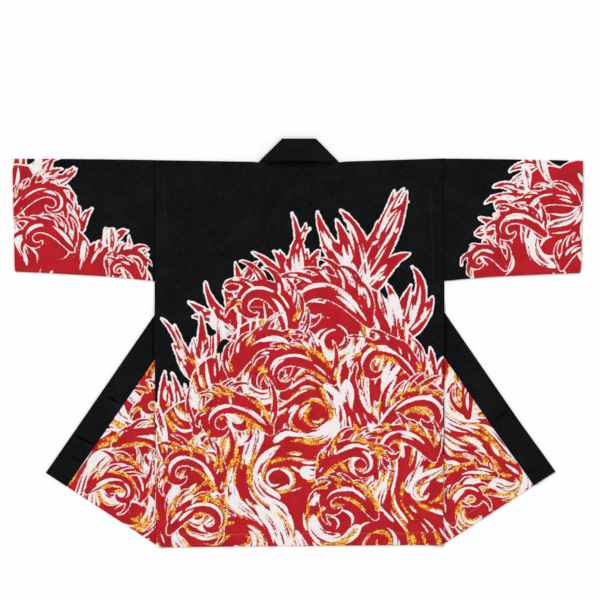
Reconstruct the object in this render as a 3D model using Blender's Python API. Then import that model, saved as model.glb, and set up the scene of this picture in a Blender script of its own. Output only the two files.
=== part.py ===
"""Happi coat laid flat on its front, back upwards, with both fronts turned out sideways.

Metres, +Z up. X runs along the sleeves, Y from the hem towards the collar. The coat lies on
z = 0, with the middle of its outline at x = 0, y = 0. It is cut in straight panels: a back, two
fronts, two sleeves and one long band that is the collar. Each front lies under the back with its
outer face down and is folded outwards beneath itself, along a line from near the neck to the side
of the hem, so that a triangle of it shows beside the body with the collar band on its far edge.
"""

import math
from collections import namedtuple

import bmesh
import bpy
from mathutils import Vector

MM = 0.001

# Driving dimensions of the cut
BODY_HALF_WIDTH = 0.318  # centre of the back to the side seam
SPAN = 1.260  # cuff to cuff
NECK_TO_HEM = 0.8487
SHOULDER_RISE = 0.0064  # the shoulder line lies this much higher at the armhole than at the neck
NECK_HALF_WIDTH = 0.0884
COLLAR_RISE = 0.0510  # height of the collar behind the neck
BAND_WIDTH = 0.0555  # of the collar band on the fronts

# How the fronts are turned out
BAND_LEAN = math.radians(34.5)  # of the band on a turned-out front, from upright
BAND_MEETS_SIDE = 0.5165  # height above the hem where its outer edge comes out from the body

# Cloth and seams
CLOTH = 1.1 * MM
BAND = 2 * CLOTH  # the band is the cloth folded double
SEAM = 0.3 * MM  # clearance between pieces, side by side or one on another
NECK_CLIP = 4 * MM  # corner cut away where neck and shoulder seams meet
FOLD_STEPS = 6  # flat facets round a fold

# How far a layer takes to settle from one level to the next
CLEAR_OF_BAND = 2 * MM
BAND_SETTLES = 16 * MM
CLEAR_OF_FOLD = 4 * MM
FOLD_SETTLES = 26 * MM
NECK_SETTLES = 48 * MM
NECK_GRID = 12 * MM  # spacing of the facets behind the neck

# Levels of the undersides of the layers, from the table up
FRONT_LIFTED = BAND + SEAM  # a front where it lies over its own turned-out part
BACK_ON_FRONT = CLOTH + SEAM  # the back above the front
NECK_LIFTED = 2 * (BAND + SEAM)  # the collar behind the neck, over its two folded layers

# Places that follow
HEM_Y = -(NECK_TO_HEM + COLLAR_RISE) / 2
NECK_Y = HEM_Y + NECK_TO_HEM
SHOULDER_Y = NECK_Y + SHOULDER_RISE
COLLAR_TOP_HALF_WIDTH = NECK_HALF_WIDTH - COLLAR_RISE  # its ends fold at 45 degrees

# Sleeve outline: share of the way from armhole to cuff, how far the upper fold lies above the
# neck line, and how far the lower seam lies below it
SleeveRing = namedtuple("SleeveRing", "share above_neck below_neck")
SLEEVE_RINGS = (
    SleeveRing(0.00, 0.0064, 0.2620),
    SleeveRing(0.35, 0.0062, 0.2515),
    SleeveRing(0.75, 0.0052, 0.2445),
    SleeveRing(1.00, 0.0038, 0.2410),
)

# A line in the plan of the right half: a point on it, and a unit normal
Line = namedtuple("Line", "point normal")


def plan(x, y):
    return Vector((x, y, 0))


def offset(line, distance):
    """The same line, moved along its normal."""
    return Line(line.point + line.normal * distance, line.normal)


def beyond(line, point):
    """How far a point lies past a line, on the side of its normal."""
    return (point - line.point).dot(line.normal)


def crossing(a, b):
    """Where two lines meet."""
    along = Vector((-a.normal.y, a.normal.x, 0))
    return a.point - along * (beyond(b, a.point) / along.dot(b.normal))


def upright(x):
    """A line straight up the plan; its normal points away from the middle."""
    return Line(plan(x, 0), plan(1, 0))


def level(y):
    """A line straight across the plan; its normal points to the collar."""
    return Line(plan(0, y), plan(0, 1))


SIDE_HEM = plan(BODY_HALF_WIDTH, HEM_Y)
ACROSS_BAND = plan(math.cos(BAND_LEAN), math.sin(BAND_LEAN))
BAND_OUTER = Line(plan(BODY_HALF_WIDTH, HEM_Y + BAND_MEETS_SIDE), ACROSS_BAND)
BAND_INNER = offset(BAND_OUTER, -BAND_WIDTH)
FRONT_HEM = Line(SIDE_HEM, plan(math.sin(BAND_LEAN), -math.cos(BAND_LEAN)))
# The front turns along the line that halves the band's lean
FRONT_FOLD = Line(SIDE_HEM, plan(-math.cos(BAND_LEAN / 2), -math.sin(BAND_LEAN / 2)))
# The collar turns under at 45 degrees; its round edge reaches the neck corner
COLLAR_EDGE = Line(plan(NECK_HALF_WIDTH, NECK_Y), plan(1, 1).normalized())
COLLAR_FOLD = offset(COLLAR_EDGE, -(FRONT_LIFTED + BAND) / 2)
# The collar's hidden layer ends where the front's fold crosses the neck corner's upright
HIDDEN_END = crossing(FRONT_FOLD, upright(NECK_HALF_WIDTH))

Fold = namedtuple("Fold", "line radius")  # radius is that of the middle of the cloth
TURN_OUT = Fold(FRONT_FOLD, FRONT_LIFTED / 2)
TURN_UNDER = Fold(COLLAR_FOLD, (BAND + SEAM) / 2)


def folded(point, fold):
    """Where a point of the flat cut comes to lie: its place, its drop and the cloth's normal."""
    past = beyond(fold.line, point)
    if past <= 0:
        return point, 0.0, Vector((0, 0, 1))
    foot = point - fold.line.normal * past
    turn = min(past / fold.radius, math.pi)
    sideways = fold.radius * math.sin(turn) - (past - turn * fold.radius)
    normal = fold.line.normal * math.sin(turn) + Vector((0, 0, math.cos(turn)))
    return foot + fold.line.normal * sideways, fold.radius * (1 - math.cos(turn)), normal


def unfolded(point, fold):
    """The point of the flat cut that comes to lie at a point beneath the fold."""
    inside = -beyond(fold.line, point)
    return point + fold.line.normal * (2 * inside + math.pi * fold.radius)


def settled(distance, start, run):
    """1 up to start, falling evenly to 0 over the run."""
    return 1 - min(max((distance - start) / run, 0), 1)


def front_level(point):
    """Underside of the front that lies under the back: raised over its turned-out part."""
    return FRONT_LIFTED * settled(beyond(BAND_OUTER, point), CLEAR_OF_BAND, BAND_SETTLES)


def back_level(point):
    """Underside of the back: on the fronts at the sides, on the table between them."""
    point = plan(abs(point.x), point.y)
    past_fold = settled(beyond(FRONT_FOLD, point), CLEAR_OF_FOLD, FOLD_SETTLES)
    on_fronts = (front_level(point) + BACK_ON_FRONT) * past_fold
    near_seam = settled(NECK_Y - point.y, CLEAR_OF_FOLD, NECK_SETTLES)
    beside = settled(point.x - NECK_HALF_WIDTH, CLEAR_OF_BAND, BAND_SETTLES)
    below = settled(HIDDEN_END.y - point.y, CLEAR_OF_FOLD, NECK_SETTLES)
    return max(on_fronts, NECK_LIFTED * max(past_fold, near_seam) * beside * below)


def flat_piece(outline):
    """A flat sheet of cloth, cut to an outline."""
    sheet = bmesh.new()
    sheet.faces.new([sheet.verts.new(point) for point in outline])
    return sheet


def crease(sheet, line, faces=None):
    """Gives the sheet an edge along a line, so that it can bend there."""
    faces = sheet.faces if faces is None else faces
    parts = dict.fromkeys(part for face in faces for part in (face, *face.edges, *face.verts))
    bmesh.ops.bisect_plane(
        sheet, geom=list(parts), dist=1e-6, plane_co=line.point, plane_no=line.normal
    )


def trim(sheet, line):
    """Cuts away what lies past a line."""
    bmesh.ops.bisect_plane(
        sheet,
        geom=[*sheet.verts, *sheet.edges, *sheet.faces],
        dist=1e-6,
        plane_co=line.point,
        plane_no=line.normal,
        clear_outer=True,
    )


def crease_fold(sheet, fold):
    """Edges round a fold, at equal turns."""
    for step in range(FOLD_STEPS + 1):
        crease(sheet, offset(fold.line, math.pi * fold.radius * step / FOLD_STEPS))


def mirrored(line):
    return Line(plan(-line.point.x, line.point.y), plan(-line.normal.x, line.normal.y))


def both_sides(*lines):
    return [side for line in lines for side in (line, mirrored(line))]


def crease_neck(sheet):
    """A finer net of edges behind the neck, where the back steps down in two directions."""
    beside = NECK_HALF_WIDTH + CLEAR_OF_BAND
    below = HIDDEN_END.y - CLEAR_OF_FOLD
    half, low = beside + BAND_SETTLES, below - NECK_SETTLES
    for y in (low, below, NECK_Y - CLEAR_OF_FOLD):
        crease(sheet, level(y))
    for line in both_sides(upright(beside), upright(half)):
        crease(sheet, line)

    def inside():
        middles = ((face, face.calc_center_median()) for face in sheet.faces)
        return [face for face, middle in middles if abs(middle.x) < half and middle.y > low]

    for step in range(1, int((NECK_Y - low) / NECK_GRID) + 1):
        crease(sheet, level(NECK_Y - step * NECK_GRID), inside())
    for step in range(int(half / NECK_GRID) + 1):
        for line in both_sides(upright(step * NECK_GRID)):
            crease(sheet, line, inside())


def wall(sheet, lay, thickness):
    """Gives a flat sheet its thickness as it lies: a closed wall with a rim.

    lay turns a point of the flat cut into a point in the middle of the cloth and its normal.
    """
    bmesh.ops.triangulate(sheet, faces=sheet.faces[:])
    solid = bmesh.new()
    faces_of = {}
    for vertex in sheet.verts:
        middle, normal = lay(vertex.co)
        half = normal * (thickness / 2)
        faces_of[vertex] = (solid.verts.new(middle + half), solid.verts.new(middle - half))
    for face in sheet.faces:
        outer, inner = zip(*(faces_of[vertex] for vertex in face.verts))
        solid.faces.new(outer)
        solid.faces.new(reversed(inner))
    for edge in sheet.edges:
        if edge.is_boundary:
            (a_out, a_in), (b_out, b_in) = (faces_of[vertex] for vertex in edge.verts)
            solid.faces.new((a_out, b_out, b_in, a_in))
    sheet.free()
    bmesh.ops.triangulate(solid, faces=solid.faces[:])
    bmesh.ops.recalc_face_normals(solid, faces=solid.faces[:])
    return solid


def cotton(name, colour):
    """A plain cotton finish."""
    material = bpy.data.materials.new(name)
    material.use_nodes = True
    shader = material.node_tree.nodes["Principled BSDF"]
    shader.inputs["Base Color"].default_value = (*colour, 1)
    shader.inputs["Roughness"].default_value = 0.85
    shader.inputs["Metallic"].default_value = 0.0
    return material


def finish(solid, name, colour, side=1):
    """Turns a solid into a named object; side -1 is the left half, its mirror image."""
    if side < 0:
        for vertex in solid.verts:
            vertex.co.x *= -1
        bmesh.ops.reverse_faces(solid, faces=solid.faces[:])
    mesh = bpy.data.meshes.new(name)
    solid.to_mesh(mesh)
    solid.free()
    mesh.materials.append(cotton(name + "_cotton", colour))
    piece = bpy.data.objects.new(name, mesh)
    bpy.context.scene.collection.objects.link(piece)
    return piece


def back():
    """The whole back, over both fronts, down to the hem."""
    top = NECK_Y - SEAM
    right = [
        plan(0, top),
        plan(NECK_HALF_WIDTH - NECK_CLIP, top),
        plan(NECK_HALF_WIDTH + NECK_CLIP, NECK_Y - NECK_CLIP),
        plan(NECK_HALF_WIDTH + 2 * NECK_CLIP, NECK_Y),
        plan(BODY_HALF_WIDTH, SHOULDER_Y),
        SIDE_HEM,
    ]
    left = [plan(-point.x, point.y) for point in reversed(right[1:])]
    sheet = flat_piece(right + left)
    for line in both_sides(
        offset(BAND_OUTER, CLEAR_OF_BAND),
        offset(BAND_OUTER, CLEAR_OF_BAND + BAND_SETTLES),
        offset(FRONT_FOLD, CLEAR_OF_FOLD),
        offset(FRONT_FOLD, CLEAR_OF_FOLD + FOLD_SETTLES),
    ):
        crease(sheet, line)
    crease(sheet, upright(0))
    crease_neck(sheet)

    def lay(point):
        return point + Vector((0, 0, back_level(point) + CLOTH / 2)), Vector((0, 0, 1))

    return wall(sheet, lay, CLOTH)


def front():
    """The right front: its upper part lies under the back, the rest is turned out beneath it."""
    neck = NECK_HALF_WIDTH + SEAM
    fold_top = crossing(FRONT_FOLD, upright(neck))
    seam_edge = offset(BAND_INNER, -SEAM)
    beside_fold_top = fold_top - seam_edge.normal * beyond(seam_edge, fold_top)
    turned_out = (fold_top, beside_fold_top, crossing(seam_edge, FRONT_HEM), SIDE_HEM)
    sheet = flat_piece(
        [
            SIDE_HEM,
            plan(BODY_HALF_WIDTH, SHOULDER_Y),
            plan(NECK_HALF_WIDTH + 2 * NECK_CLIP, NECK_Y),
            plan(NECK_HALF_WIDTH + NECK_CLIP, NECK_Y - NECK_CLIP),
            plan(neck, NECK_Y - 2 * NECK_CLIP),
            fold_top,
            *(unfolded(point, TURN_OUT) for point in turned_out),
        ]
    )
    crease_fold(sheet, TURN_OUT)
    crease(sheet, offset(BAND_OUTER, CLEAR_OF_BAND))
    crease(sheet, offset(BAND_OUTER, CLEAR_OF_BAND + BAND_SETTLES))

    def lay(point):
        place, drop, normal = folded(point, TURN_OUT)
        level = front_level(point) if drop == 0 else FRONT_LIFTED
        return place + Vector((0, 0, level + CLOTH / 2 - drop)), normal

    return wall(sheet, lay, CLOTH)


def collar_neck():
    """The collar behind the neck, with both ends folded under at 45 degrees."""
    turned_under = NECK_Y - HIDDEN_END.y
    into_fold = math.pi * TURN_UNDER.radius / math.sqrt(2)  # cloth taken up by half of the turn
    half_seam = crossing(COLLAR_FOLD, level(NECK_Y)).x + into_fold + turned_under
    half_top = COLLAR_TOP_HALF_WIDTH + into_fold
    top = NECK_Y + COLLAR_RISE
    sheet = flat_piece(
        [plan(half_seam, NECK_Y), plan(half_top, top), plan(-half_top, top), plan(-half_seam, NECK_Y)]
    )
    crease(sheet, upright(0))
    for line in both_sides(TURN_UNDER.line):
        crease_fold(sheet, Fold(line, TURN_UNDER.radius))

    def lay(point):
        side = math.copysign(1, point.x)
        place, drop, normal = folded(plan(abs(point.x), point.y), TURN_UNDER)
        middle = Vector((place.x * side, place.y, NECK_LIFTED + BAND / 2 - drop))
        return middle, Vector((normal.x * side, normal.y, normal.z))

    return wall(sheet, lay, BAND)


def collar_arm():
    """The right end of the collar, along the edge of the turned-out front, flat on the table."""
    past_collar = level(NECK_Y + COLLAR_RISE)
    far_end = [crossing(line, past_collar) for line in (BAND_INNER, BAND_OUTER)]
    hem_end = [crossing(line, FRONT_HEM) for line in (BAND_OUTER, BAND_INNER)]
    sheet = flat_piece(far_end + hem_end)
    trim(sheet, FRONT_FOLD)
    trim(sheet, offset(COLLAR_FOLD, -CLEAR_OF_BAND))

    def lay(point):
        return point + Vector((0, 0, BAND / 2)), Vector((0, 0, 1))

    return wall(sheet, lay, BAND)


def flattened_ring(top, bottom):
    """Outline of a flattened tube with round folds above and below, outside and inside, as (y, z)."""
    outside, inside = [], []
    middle_z = CLOTH + SEAM / 2
    for end, turn in ((top - middle_z, -math.pi / 2), (bottom + middle_z, math.pi / 2)):
        for step in range(FOLD_STEPS + 1):
            angle = turn + math.pi * step / FOLD_STEPS
            for ring, radius in ((outside, middle_z), (inside, SEAM / 2)):
                ring.append((end + radius * math.cos(angle), middle_z + radius * math.sin(angle)))
    return outside, inside


def sleeve():
    """The right sleeve: one flattened tube, open at the armhole and at the cuff."""
    solid = bmesh.new()
    start = BODY_HALF_WIDTH + SEAM
    rings = []
    for row in SLEEVE_RINGS:
        x = start + (SPAN / 2 - start) * row.share
        loops = flattened_ring(NECK_Y + row.above_neck, NECK_Y - row.below_neck)
        rings.append([[solid.verts.new((x, y, z)) for y, z in loop] for loop in loops])
    count = len(rings[0][0])

    def skin(a, b):
        for i in range(count):
            j = (i + 1) % count
            solid.faces.new((a[i], a[j], b[j], b[i]))

    for ring, following in zip(rings, rings[1:]):
        skin(ring[0], following[0])
        skin(ring[1], following[1])
    for outside, inside in (rings[0], rings[-1]):
        skin(outside, inside)
    bmesh.ops.triangulate(solid, faces=solid.faces[:])
    bmesh.ops.recalc_face_normals(solid, faces=solid.faces[:])
    return solid


BLACK = (0.008, 0.008, 0.009)
PRINTED = (0.30, 0.04, 0.035)  # black cotton with a red, white and gold print, taken together
SIDES = (("left", -1), ("right", 1))

for old in list(bpy.data.objects):
    bpy.data.objects.remove(old)

finish(back(), "back", PRINTED)
finish(collar_neck(), "collar_neck", BLACK)
for side_name, sign in SIDES:
    finish(front(), "front_" + side_name, PRINTED, sign)
    finish(sleeve(), "sleeve_" + side_name, PRINTED, sign)
    finish(collar_arm(), "collar_" + side_name, BLACK, sign)
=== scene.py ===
"""Happi coat laid flat with its back up: the cloth, its seams, its print and the studio.

Metres, +Z up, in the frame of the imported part. Each piece is cut flat on a net of columns and
rows, thickened, and then laid where its panel lies: the back over both fronts, the fronts turned
out beneath it, the sleeves flat beside it and the collar behind the neck and along the fronts.
"""

import math
from collections import namedtuple

import bmesh
import bpy
import numpy as np
from mathutils import Matrix, Vector


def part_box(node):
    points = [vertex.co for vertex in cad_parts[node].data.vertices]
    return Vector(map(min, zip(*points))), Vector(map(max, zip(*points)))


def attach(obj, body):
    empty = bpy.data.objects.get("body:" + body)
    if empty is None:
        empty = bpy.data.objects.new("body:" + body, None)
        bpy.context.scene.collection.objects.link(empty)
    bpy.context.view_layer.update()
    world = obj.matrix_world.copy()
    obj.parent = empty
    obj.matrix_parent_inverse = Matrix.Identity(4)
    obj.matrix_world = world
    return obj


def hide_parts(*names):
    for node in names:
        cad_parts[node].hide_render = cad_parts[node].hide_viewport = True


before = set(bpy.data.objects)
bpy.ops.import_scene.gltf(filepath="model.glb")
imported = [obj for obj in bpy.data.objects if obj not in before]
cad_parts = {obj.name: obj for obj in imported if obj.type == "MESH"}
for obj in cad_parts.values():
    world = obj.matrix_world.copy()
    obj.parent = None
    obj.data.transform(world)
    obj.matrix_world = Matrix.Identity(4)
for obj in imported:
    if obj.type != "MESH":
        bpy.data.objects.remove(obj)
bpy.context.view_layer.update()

MM = 0.001
SIDES = (("left", -1), ("right", 1))

# Sizes read from the frame
back_low, back_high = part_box("back")
BODY_HALF_WIDTH = back_high.x
HEM_Y = back_low.y
SHOULDER_Y = back_high.y
COLLAR_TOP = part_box("collar_neck")[1].y
CUFF_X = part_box("sleeve_right")[1].x

# How the coat is cut and turned out
COLLAR_RISE = 0.0510
NECK_HALF_WIDTH = 0.0884
BAND_WIDTH = 0.0555
BAND_LEAN = math.radians(34.5)  # of the band on a turned-out front, from upright
BAND_MEETS_SIDE = 0.5165  # height above the hem where the band comes out from the body
HEM_DEPTH = 0.029  # cloth turned up and stitched at the hem

# How the two halves differ as they lie, left and right
SHOULDER_RISES = {"left": 3.9 * MM, "right": 7.3 * MM}  # at the armhole, above the neck
CUFF_MOVED = {"left": 0.6 * MM, "right": -5.0 * MM}  # outwards
CUFF_CORNER_IN = {"left": 1.6 * MM, "right": 3.4 * MM}  # at its lower end
SLEEVE_TOP_MOVED = {  # up, at the armhole and at the cuff
    "left": (-2.8 * MM, 2.4 * MM),
    "right": (0.5 * MM, -2.2 * MM),
}
SLEEVE_BOTTOM_MOVED = {"left": 0.0, "right": 3.2 * MM}  # down, at the cuff
HEM_RAISED = {"left": 1.6 * MM, "right": 5.0 * MM}  # of the back, at two places
HEM_PLACES_APART = 0.4
HEM_EVENS_OUT = {"left": (1.1, 0.15), "right": (0.35, 0.09)}  # by what share, from how far in
HEM_CORNER_RAISED = {"left": 5.6 * MM, "right": 3.2 * MM}
SIDE_DRAWN_IN = {  # of the back towards its hem: how much, from how far out, over what run
    "left": (3.0 * MM, 0.20, 0.118),
    "right": (0.8 * MM, 0.25, 0.068),
}

# How a turned-out front lies off the plan: its band moved outwards, more so at the hem, and its
# hem moved up beside the body and at the band
FrontLies = namedtuple("FrontLies", "spread flare up_at_side up_at_band")
FRONT_LIES = {
    "left": FrontLies(-2.3 * MM, 0.4 * MM, 6.6 * MM, 0.0),
    "right": FrontLies(2.7 * MM, 2.8 * MM, 6.4 * MM, -1.6 * MM),
}

# Layers
CLOTH = 1.1 * MM
BAND = 2 * CLOTH
SEAM = 0.3 * MM
FRONT_LIFTED = BAND + SEAM
BACK_ON_FRONT = CLOTH + SEAM
NECK_LIFTED = 2 * (BAND + SEAM)

# How far a layer takes to settle from one level to the next
CLEAR_OF_BAND = 2 * MM
BAND_SETTLES = 16 * MM
CLEAR_OF_FOLD = 4 * MM
FOLD_SETTLES = 26 * MM
NECK_SETTLES = 48 * MM

NECK_CLIP = 2.4 * MM  # how far the back gives way to the collar at the neck's corners

# Places that follow
NECK_Y = COLLAR_TOP - COLLAR_RISE
COLLAR_TOP_HALF_WIDTH = NECK_HALF_WIDTH - COLLAR_RISE

Line = namedtuple("Line", "x y out_x out_y")  # a point on it, and its normal


def offset(line, distance):
    return line._replace(x=line.x + line.out_x * distance, y=line.y + line.out_y * distance)


def beyond(line, x, y):
    """How far points lie past a line, on the side of its normal."""
    return (x - line.x) * line.out_x + (y - line.y) * line.out_y


def mirrored(line):
    return line._replace(x=-line.x, out_x=-line.out_x)


BAND_START_Y = HEM_Y + BAND_MEETS_SIDE
BAND_OUTER = Line(BODY_HALF_WIDTH, BAND_START_Y, math.cos(BAND_LEAN), math.sin(BAND_LEAN))
FRONT_HEM = Line(BODY_HALF_WIDTH, HEM_Y, math.sin(BAND_LEAN), -math.cos(BAND_LEAN))
FRONT_FOLD = Line(BODY_HALF_WIDTH, HEM_Y, -math.cos(BAND_LEAN / 2), -math.sin(BAND_LEAN / 2))
COLLAR_EDGE = Line(NECK_HALF_WIDTH, NECK_Y, math.sqrt(0.5), math.sqrt(0.5))
COLLAR_FOLD = offset(COLLAR_EDGE, -(FRONT_LIFTED + BAND) / 2)
TURN_OUT_RADIUS = FRONT_LIFTED / 2
TURN_UNDER_RADIUS = (BAND + SEAM) / 2
HIDDEN_END_Y = HEM_Y + (BODY_HALF_WIDTH - NECK_HALF_WIDTH) / math.tan(BAND_LEAN / 2)


def eased(share):
    """0 to 1 with soft ends."""
    share = np.clip(share, 0, 1)
    return share * share * (3 - 2 * share)


def settled(distance, start, run):
    """1 up to start, falling softly to 0 over the run."""
    return 1 - eased((distance - start) / run)


def hump(distance, width, power=2):
    """1 on a line, falling away over its width on both sides."""
    return np.exp(-((distance / width) ** power))


def towards(edge_distance, reach):
    """1 at an edge, 0 from reach inwards."""
    return (1 - np.clip(edge_distance / reach, 0, 1)) ** 2


def by_side(x, values):
    """The left or the right one of two values, for the points on that side."""
    return np.where(x < 0, values["left"], values["right"])


def front_level(x, y):
    """Underside of the front that lies under the back, over its own turned-out part."""
    return FRONT_LIFTED * settled(beyond(BAND_OUTER, x, y), CLEAR_OF_BAND, BAND_SETTLES)


def back_level(x, y):
    """Underside of the back: on the fronts at the sides, on the table between them."""
    x = np.abs(x)
    past_fold = settled(beyond(FRONT_FOLD, x, y), CLEAR_OF_FOLD, FOLD_SETTLES)
    on_fronts = (front_level(x, y) + BACK_ON_FRONT) * past_fold
    near_seam = settled(NECK_Y - y, CLEAR_OF_FOLD, NECK_SETTLES)
    beside_neck = settled(x - NECK_HALF_WIDTH, CLEAR_OF_BAND, BAND_SETTLES)
    below = settled(HIDDEN_END_Y - y, CLEAR_OF_FOLD, NECK_SETTLES)
    over_collar = NECK_LIFTED * np.maximum(past_fold, near_seam) * beside_neck * below
    return np.maximum(on_fronts, over_collar)


def folded(x, y, line, radius):
    """Where points of the flat cut lie after a fold: their place and their drop."""
    past = np.maximum(beyond(line, x, y), 0)
    turn = np.minimum(past / radius, math.pi)
    sideways = radius * np.sin(turn) - (past - turn * radius)
    return (
        x + line.out_x * (sideways - past),
        y + line.out_y * (sideways - past),
        radius * (1 - np.cos(turn)),
    )


# Creases and rolls of the cloth

Crease = namedtuple("Crease", "from_x from_y to_x to_y width height")  # height below 0: a trough


def creases_from(*rows):
    """Each row gives a crease's two ends in metres, and its width and height in millimetres."""
    return tuple(Crease(*row[:4], row[4] * MM, row[5] * MM) for row in rows)


BACK_CREASES = creases_from(
    (-0.2945, 0.385, -0.2935, 0.195, 2.6, 0.63),
    (0.2930, 0.378, 0.2920, 0.105, 2.6, 0.68),
    (-0.318, 0.1335, -0.2385, 0.1360, 2.8, -0.60),
    (0.318, 0.1345, 0.2780, 0.1350, 2.6, -0.57),
    (0.002, 0.3640, 0.1230, 0.3630, 3.0, 0.45),
    (-0.150, 0.3380, -0.2250, 0.3120, 5.0, 0.45),
    (0.210, 0.3250, 0.1350, 0.2980, 5.5, 0.42),
    (-0.300, -0.0450, -0.2700, -0.2350, 5.0, 0.51),
    (0.301, -0.1250, 0.2860, -0.3350, 5.0, 0.48),
    (0.0300, 0.1050, 0.0330, -0.1200, 7.0, 0.33),
    (-0.1100, -0.2500, -0.0500, -0.3600, 6.0, 0.36),
    (0.1500, -0.2800, 0.2050, -0.3900, 6.0, 0.36),
    (-0.2100, -0.3300, -0.2500, -0.4100, 5.0, -0.33),
)
FRONT_CREASES = {
    "left": creases_from(
        (0.236, -0.330, 0.168, -0.372, 5.0, 0.60),
        (0.205, -0.180, 0.150, -0.255, 5.0, 0.54),
        (0.110, -0.300, 0.150, -0.400, 4.5, -0.45),
        (0.260, -0.405, 0.215, -0.435, 4.0, 0.51),
    ),
    "right": creases_from(
        (0.190, -0.130, 0.138, -0.180, 5.0, 0.54),
        (0.245, -0.345, 0.182, -0.350, 5.5, 0.51),
        (0.120, -0.330, 0.142, -0.420, 4.5, -0.45),
    ),
}
SLEEVE_CREASES = {
    "left": creases_from(
        (0.330, 0.168, 0.420, 0.262, 6.0, 0.48),
        (0.335, 0.230, 0.385, 0.300, 6.0, 0.36),
        (0.600, 0.190, 0.520, 0.215, 5.0, 0.52),
        (0.470, 0.390, 0.455, 0.330, 5.0, -0.45),
    ),
    "right": creases_from(
        (0.563, 0.350, 0.563, 0.303, 1.8, -0.52),
        (0.332, 0.172, 0.405, 0.268, 6.0, 0.45),
        (0.340, 0.262, 0.400, 0.315, 5.5, 0.36),
        (0.595, 0.240, 0.540, 0.200, 5.0, 0.52),
        (0.430, 0.160, 0.470, 0.200, 5.0, -0.38),
    ),
}
BAND_CREASES = {
    "left": creases_from(
        (0.398, -0.131, 0.424, -0.116, 2.2, -1.27),
        (0.392, -0.140, 0.412, -0.128, 3.2, 0.75),
        (0.455, -0.222, 0.494, -0.203, 2.2, -1.27),
        (0.450, -0.230, 0.480, -0.216, 3.2, 0.75),
        (0.480, -0.262, 0.505, -0.246, 2.4, -0.75),
        (0.365, -0.075, 0.385, -0.060, 2.4, -0.38),
    ),
    "right": creases_from(
        (0.428, -0.172, 0.458, -0.150, 2.4, -0.55),
        (0.500, -0.290, 0.525, -0.272, 2.4, -0.38),
        (0.346, -0.010, 0.362, 0.006, 2.4, -0.34),
    ),
}

CREASE_WANDERS = 0.06  # sideways, a share of its length
CREASE_FADES = 0.25  # at each end, over a share of its length
CREASE_ENDS = 0.2  # how much of it is there at its very ends
# Crease tops above this height are made lighter over this run, from wear and as painted sheen
LIGHTENED_ABOVE = 0.25 * MM
LIGHTENED_OVER = 0.6 * MM

# Soft rolls of the cloth: seed of their draws, rough length and height
Rolls = namedtuple("Rolls", "seed length height")
BACK_ROLLS = Rolls(3, 0.16, 0.8 * MM)
FRONT_ROLLS = {"left": Rolls(21, 0.11, 0.9 * MM), "right": Rolls(34, 0.11, 0.9 * MM)}
SLEEVE_ROLLS = {"left": Rolls(47, 0.13, 1.5 * MM), "right": Rolls(58, 0.13, 1.5 * MM)}
BAND_ROLLS = {"left": Rolls(66, 0.09, 0.5 * MM), "right": Rolls(79, 0.09, 0.5 * MM)}
ROLL_WAVES = 7
ROLL_LENGTHS = (0.6, 1.7)  # shares of the rough length
ROLL_EVENNESS = 3  # how much the waves are held to one height

FRONT_MOVES_ABOVE_HEM = 0.16


def crease_heights(creases, x, y):
    """How high the creases stand on the cloth, each fading towards its ends."""
    height = np.zeros_like(x)
    for crease in creases:
        run_x, run_y = crease.to_x - crease.from_x, crease.to_y - crease.from_y
        length = math.hypot(run_x, run_y)
        share = ((x - crease.from_x) * run_x + (y - crease.from_y) * run_y) / length**2
        aside = ((x - crease.from_x) * run_y - (y - crease.from_y) * run_x) / length
        aside = aside + CREASE_WANDERS * length * np.sin(3 * share) * (share - 0.5)
        fade = eased(share / CREASE_FADES + CREASE_ENDS)
        fade = fade * eased((1 - share) / CREASE_FADES + CREASE_ENDS)
        height += crease.height * fade * hump(aside, crease.width)
    return height


def ridges(creases, x, y):
    """How much lighter the creases that stand up are made, up to 1: wear and painted sheen."""
    return np.clip((crease_heights(creases, x, y) - LIGHTENED_ABOVE) / LIGHTENED_OVER, 0, 1)


def spread_out(x, y, side_name):
    """The turned-out front as it lies, a little off the plan."""
    lies = FRONT_LIES[side_name]
    from_side = (x - FRONT_HEM.x) * BAND_OUTER.out_x + (y - FRONT_HEM.y) * BAND_OUTER.out_y
    share = np.clip(from_side / (BAND_MEETS_SIDE * math.sin(BAND_LEAN)), 0, 1)
    near_hem = settled(-beyond(FRONT_HEM, x, y), 0, FRONT_MOVES_ABOVE_HEM)
    aside = (lies.spread + lies.flare * near_hem) * share
    up = (lies.up_at_side + (lies.up_at_band - lies.up_at_side) * share) * near_hem
    return (
        x + aside * BAND_OUTER.out_x - up * FRONT_HEM.out_x,
        y + aside * BAND_OUTER.out_y - up * FRONT_HEM.out_y,
    )


def rolls(x, y, kind):
    """Soft uneven rolls all over, 0 at their lowest."""
    draw = np.random.default_rng(kind.seed)
    total = np.zeros_like(x)
    for _ in range(ROLL_WAVES):
        heading, phase = draw.uniform(0, math.pi), draw.uniform(0, 2 * math.pi)
        wave = 2 * math.pi / (kind.length * draw.uniform(*ROLL_LENGTHS))
        total += np.sin(wave * (x * math.cos(heading) + y * math.sin(heading)) + phase)
    return kind.height * (0.5 + 0.5 * np.tanh(total / ROLL_EVENNESS))


# The print: strokes, each a line of points and its half widths

FAR = 0.012  # fields of the print are kept no further than this from an edge
RIM = 0.0037  # white line round a red shape
CREST_RIM = 0.0024  # and round a crest
TINY = 1e-12  # keeps a length from being nothing
MARKS_APART = 0.37  # so that no two strokes show the same brush marks

STROKE_STEPS = 26
CREST_STEPS = 40
BARB_STEPS = 14
STREAK_STEPS = 22
STRAND_STEPS = 14
CARRIED_STEPS = 16
READ_OFF_AT = 200  # points

TONGUE_ROOT = 0.6  # share of the full width at its root
TONGUE_SWELLS = 0.3  # share of its length
TONGUE_TAPER = 0.75
ROUNDNESS = 0.8  # of a stroke that is fat in the middle


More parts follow.
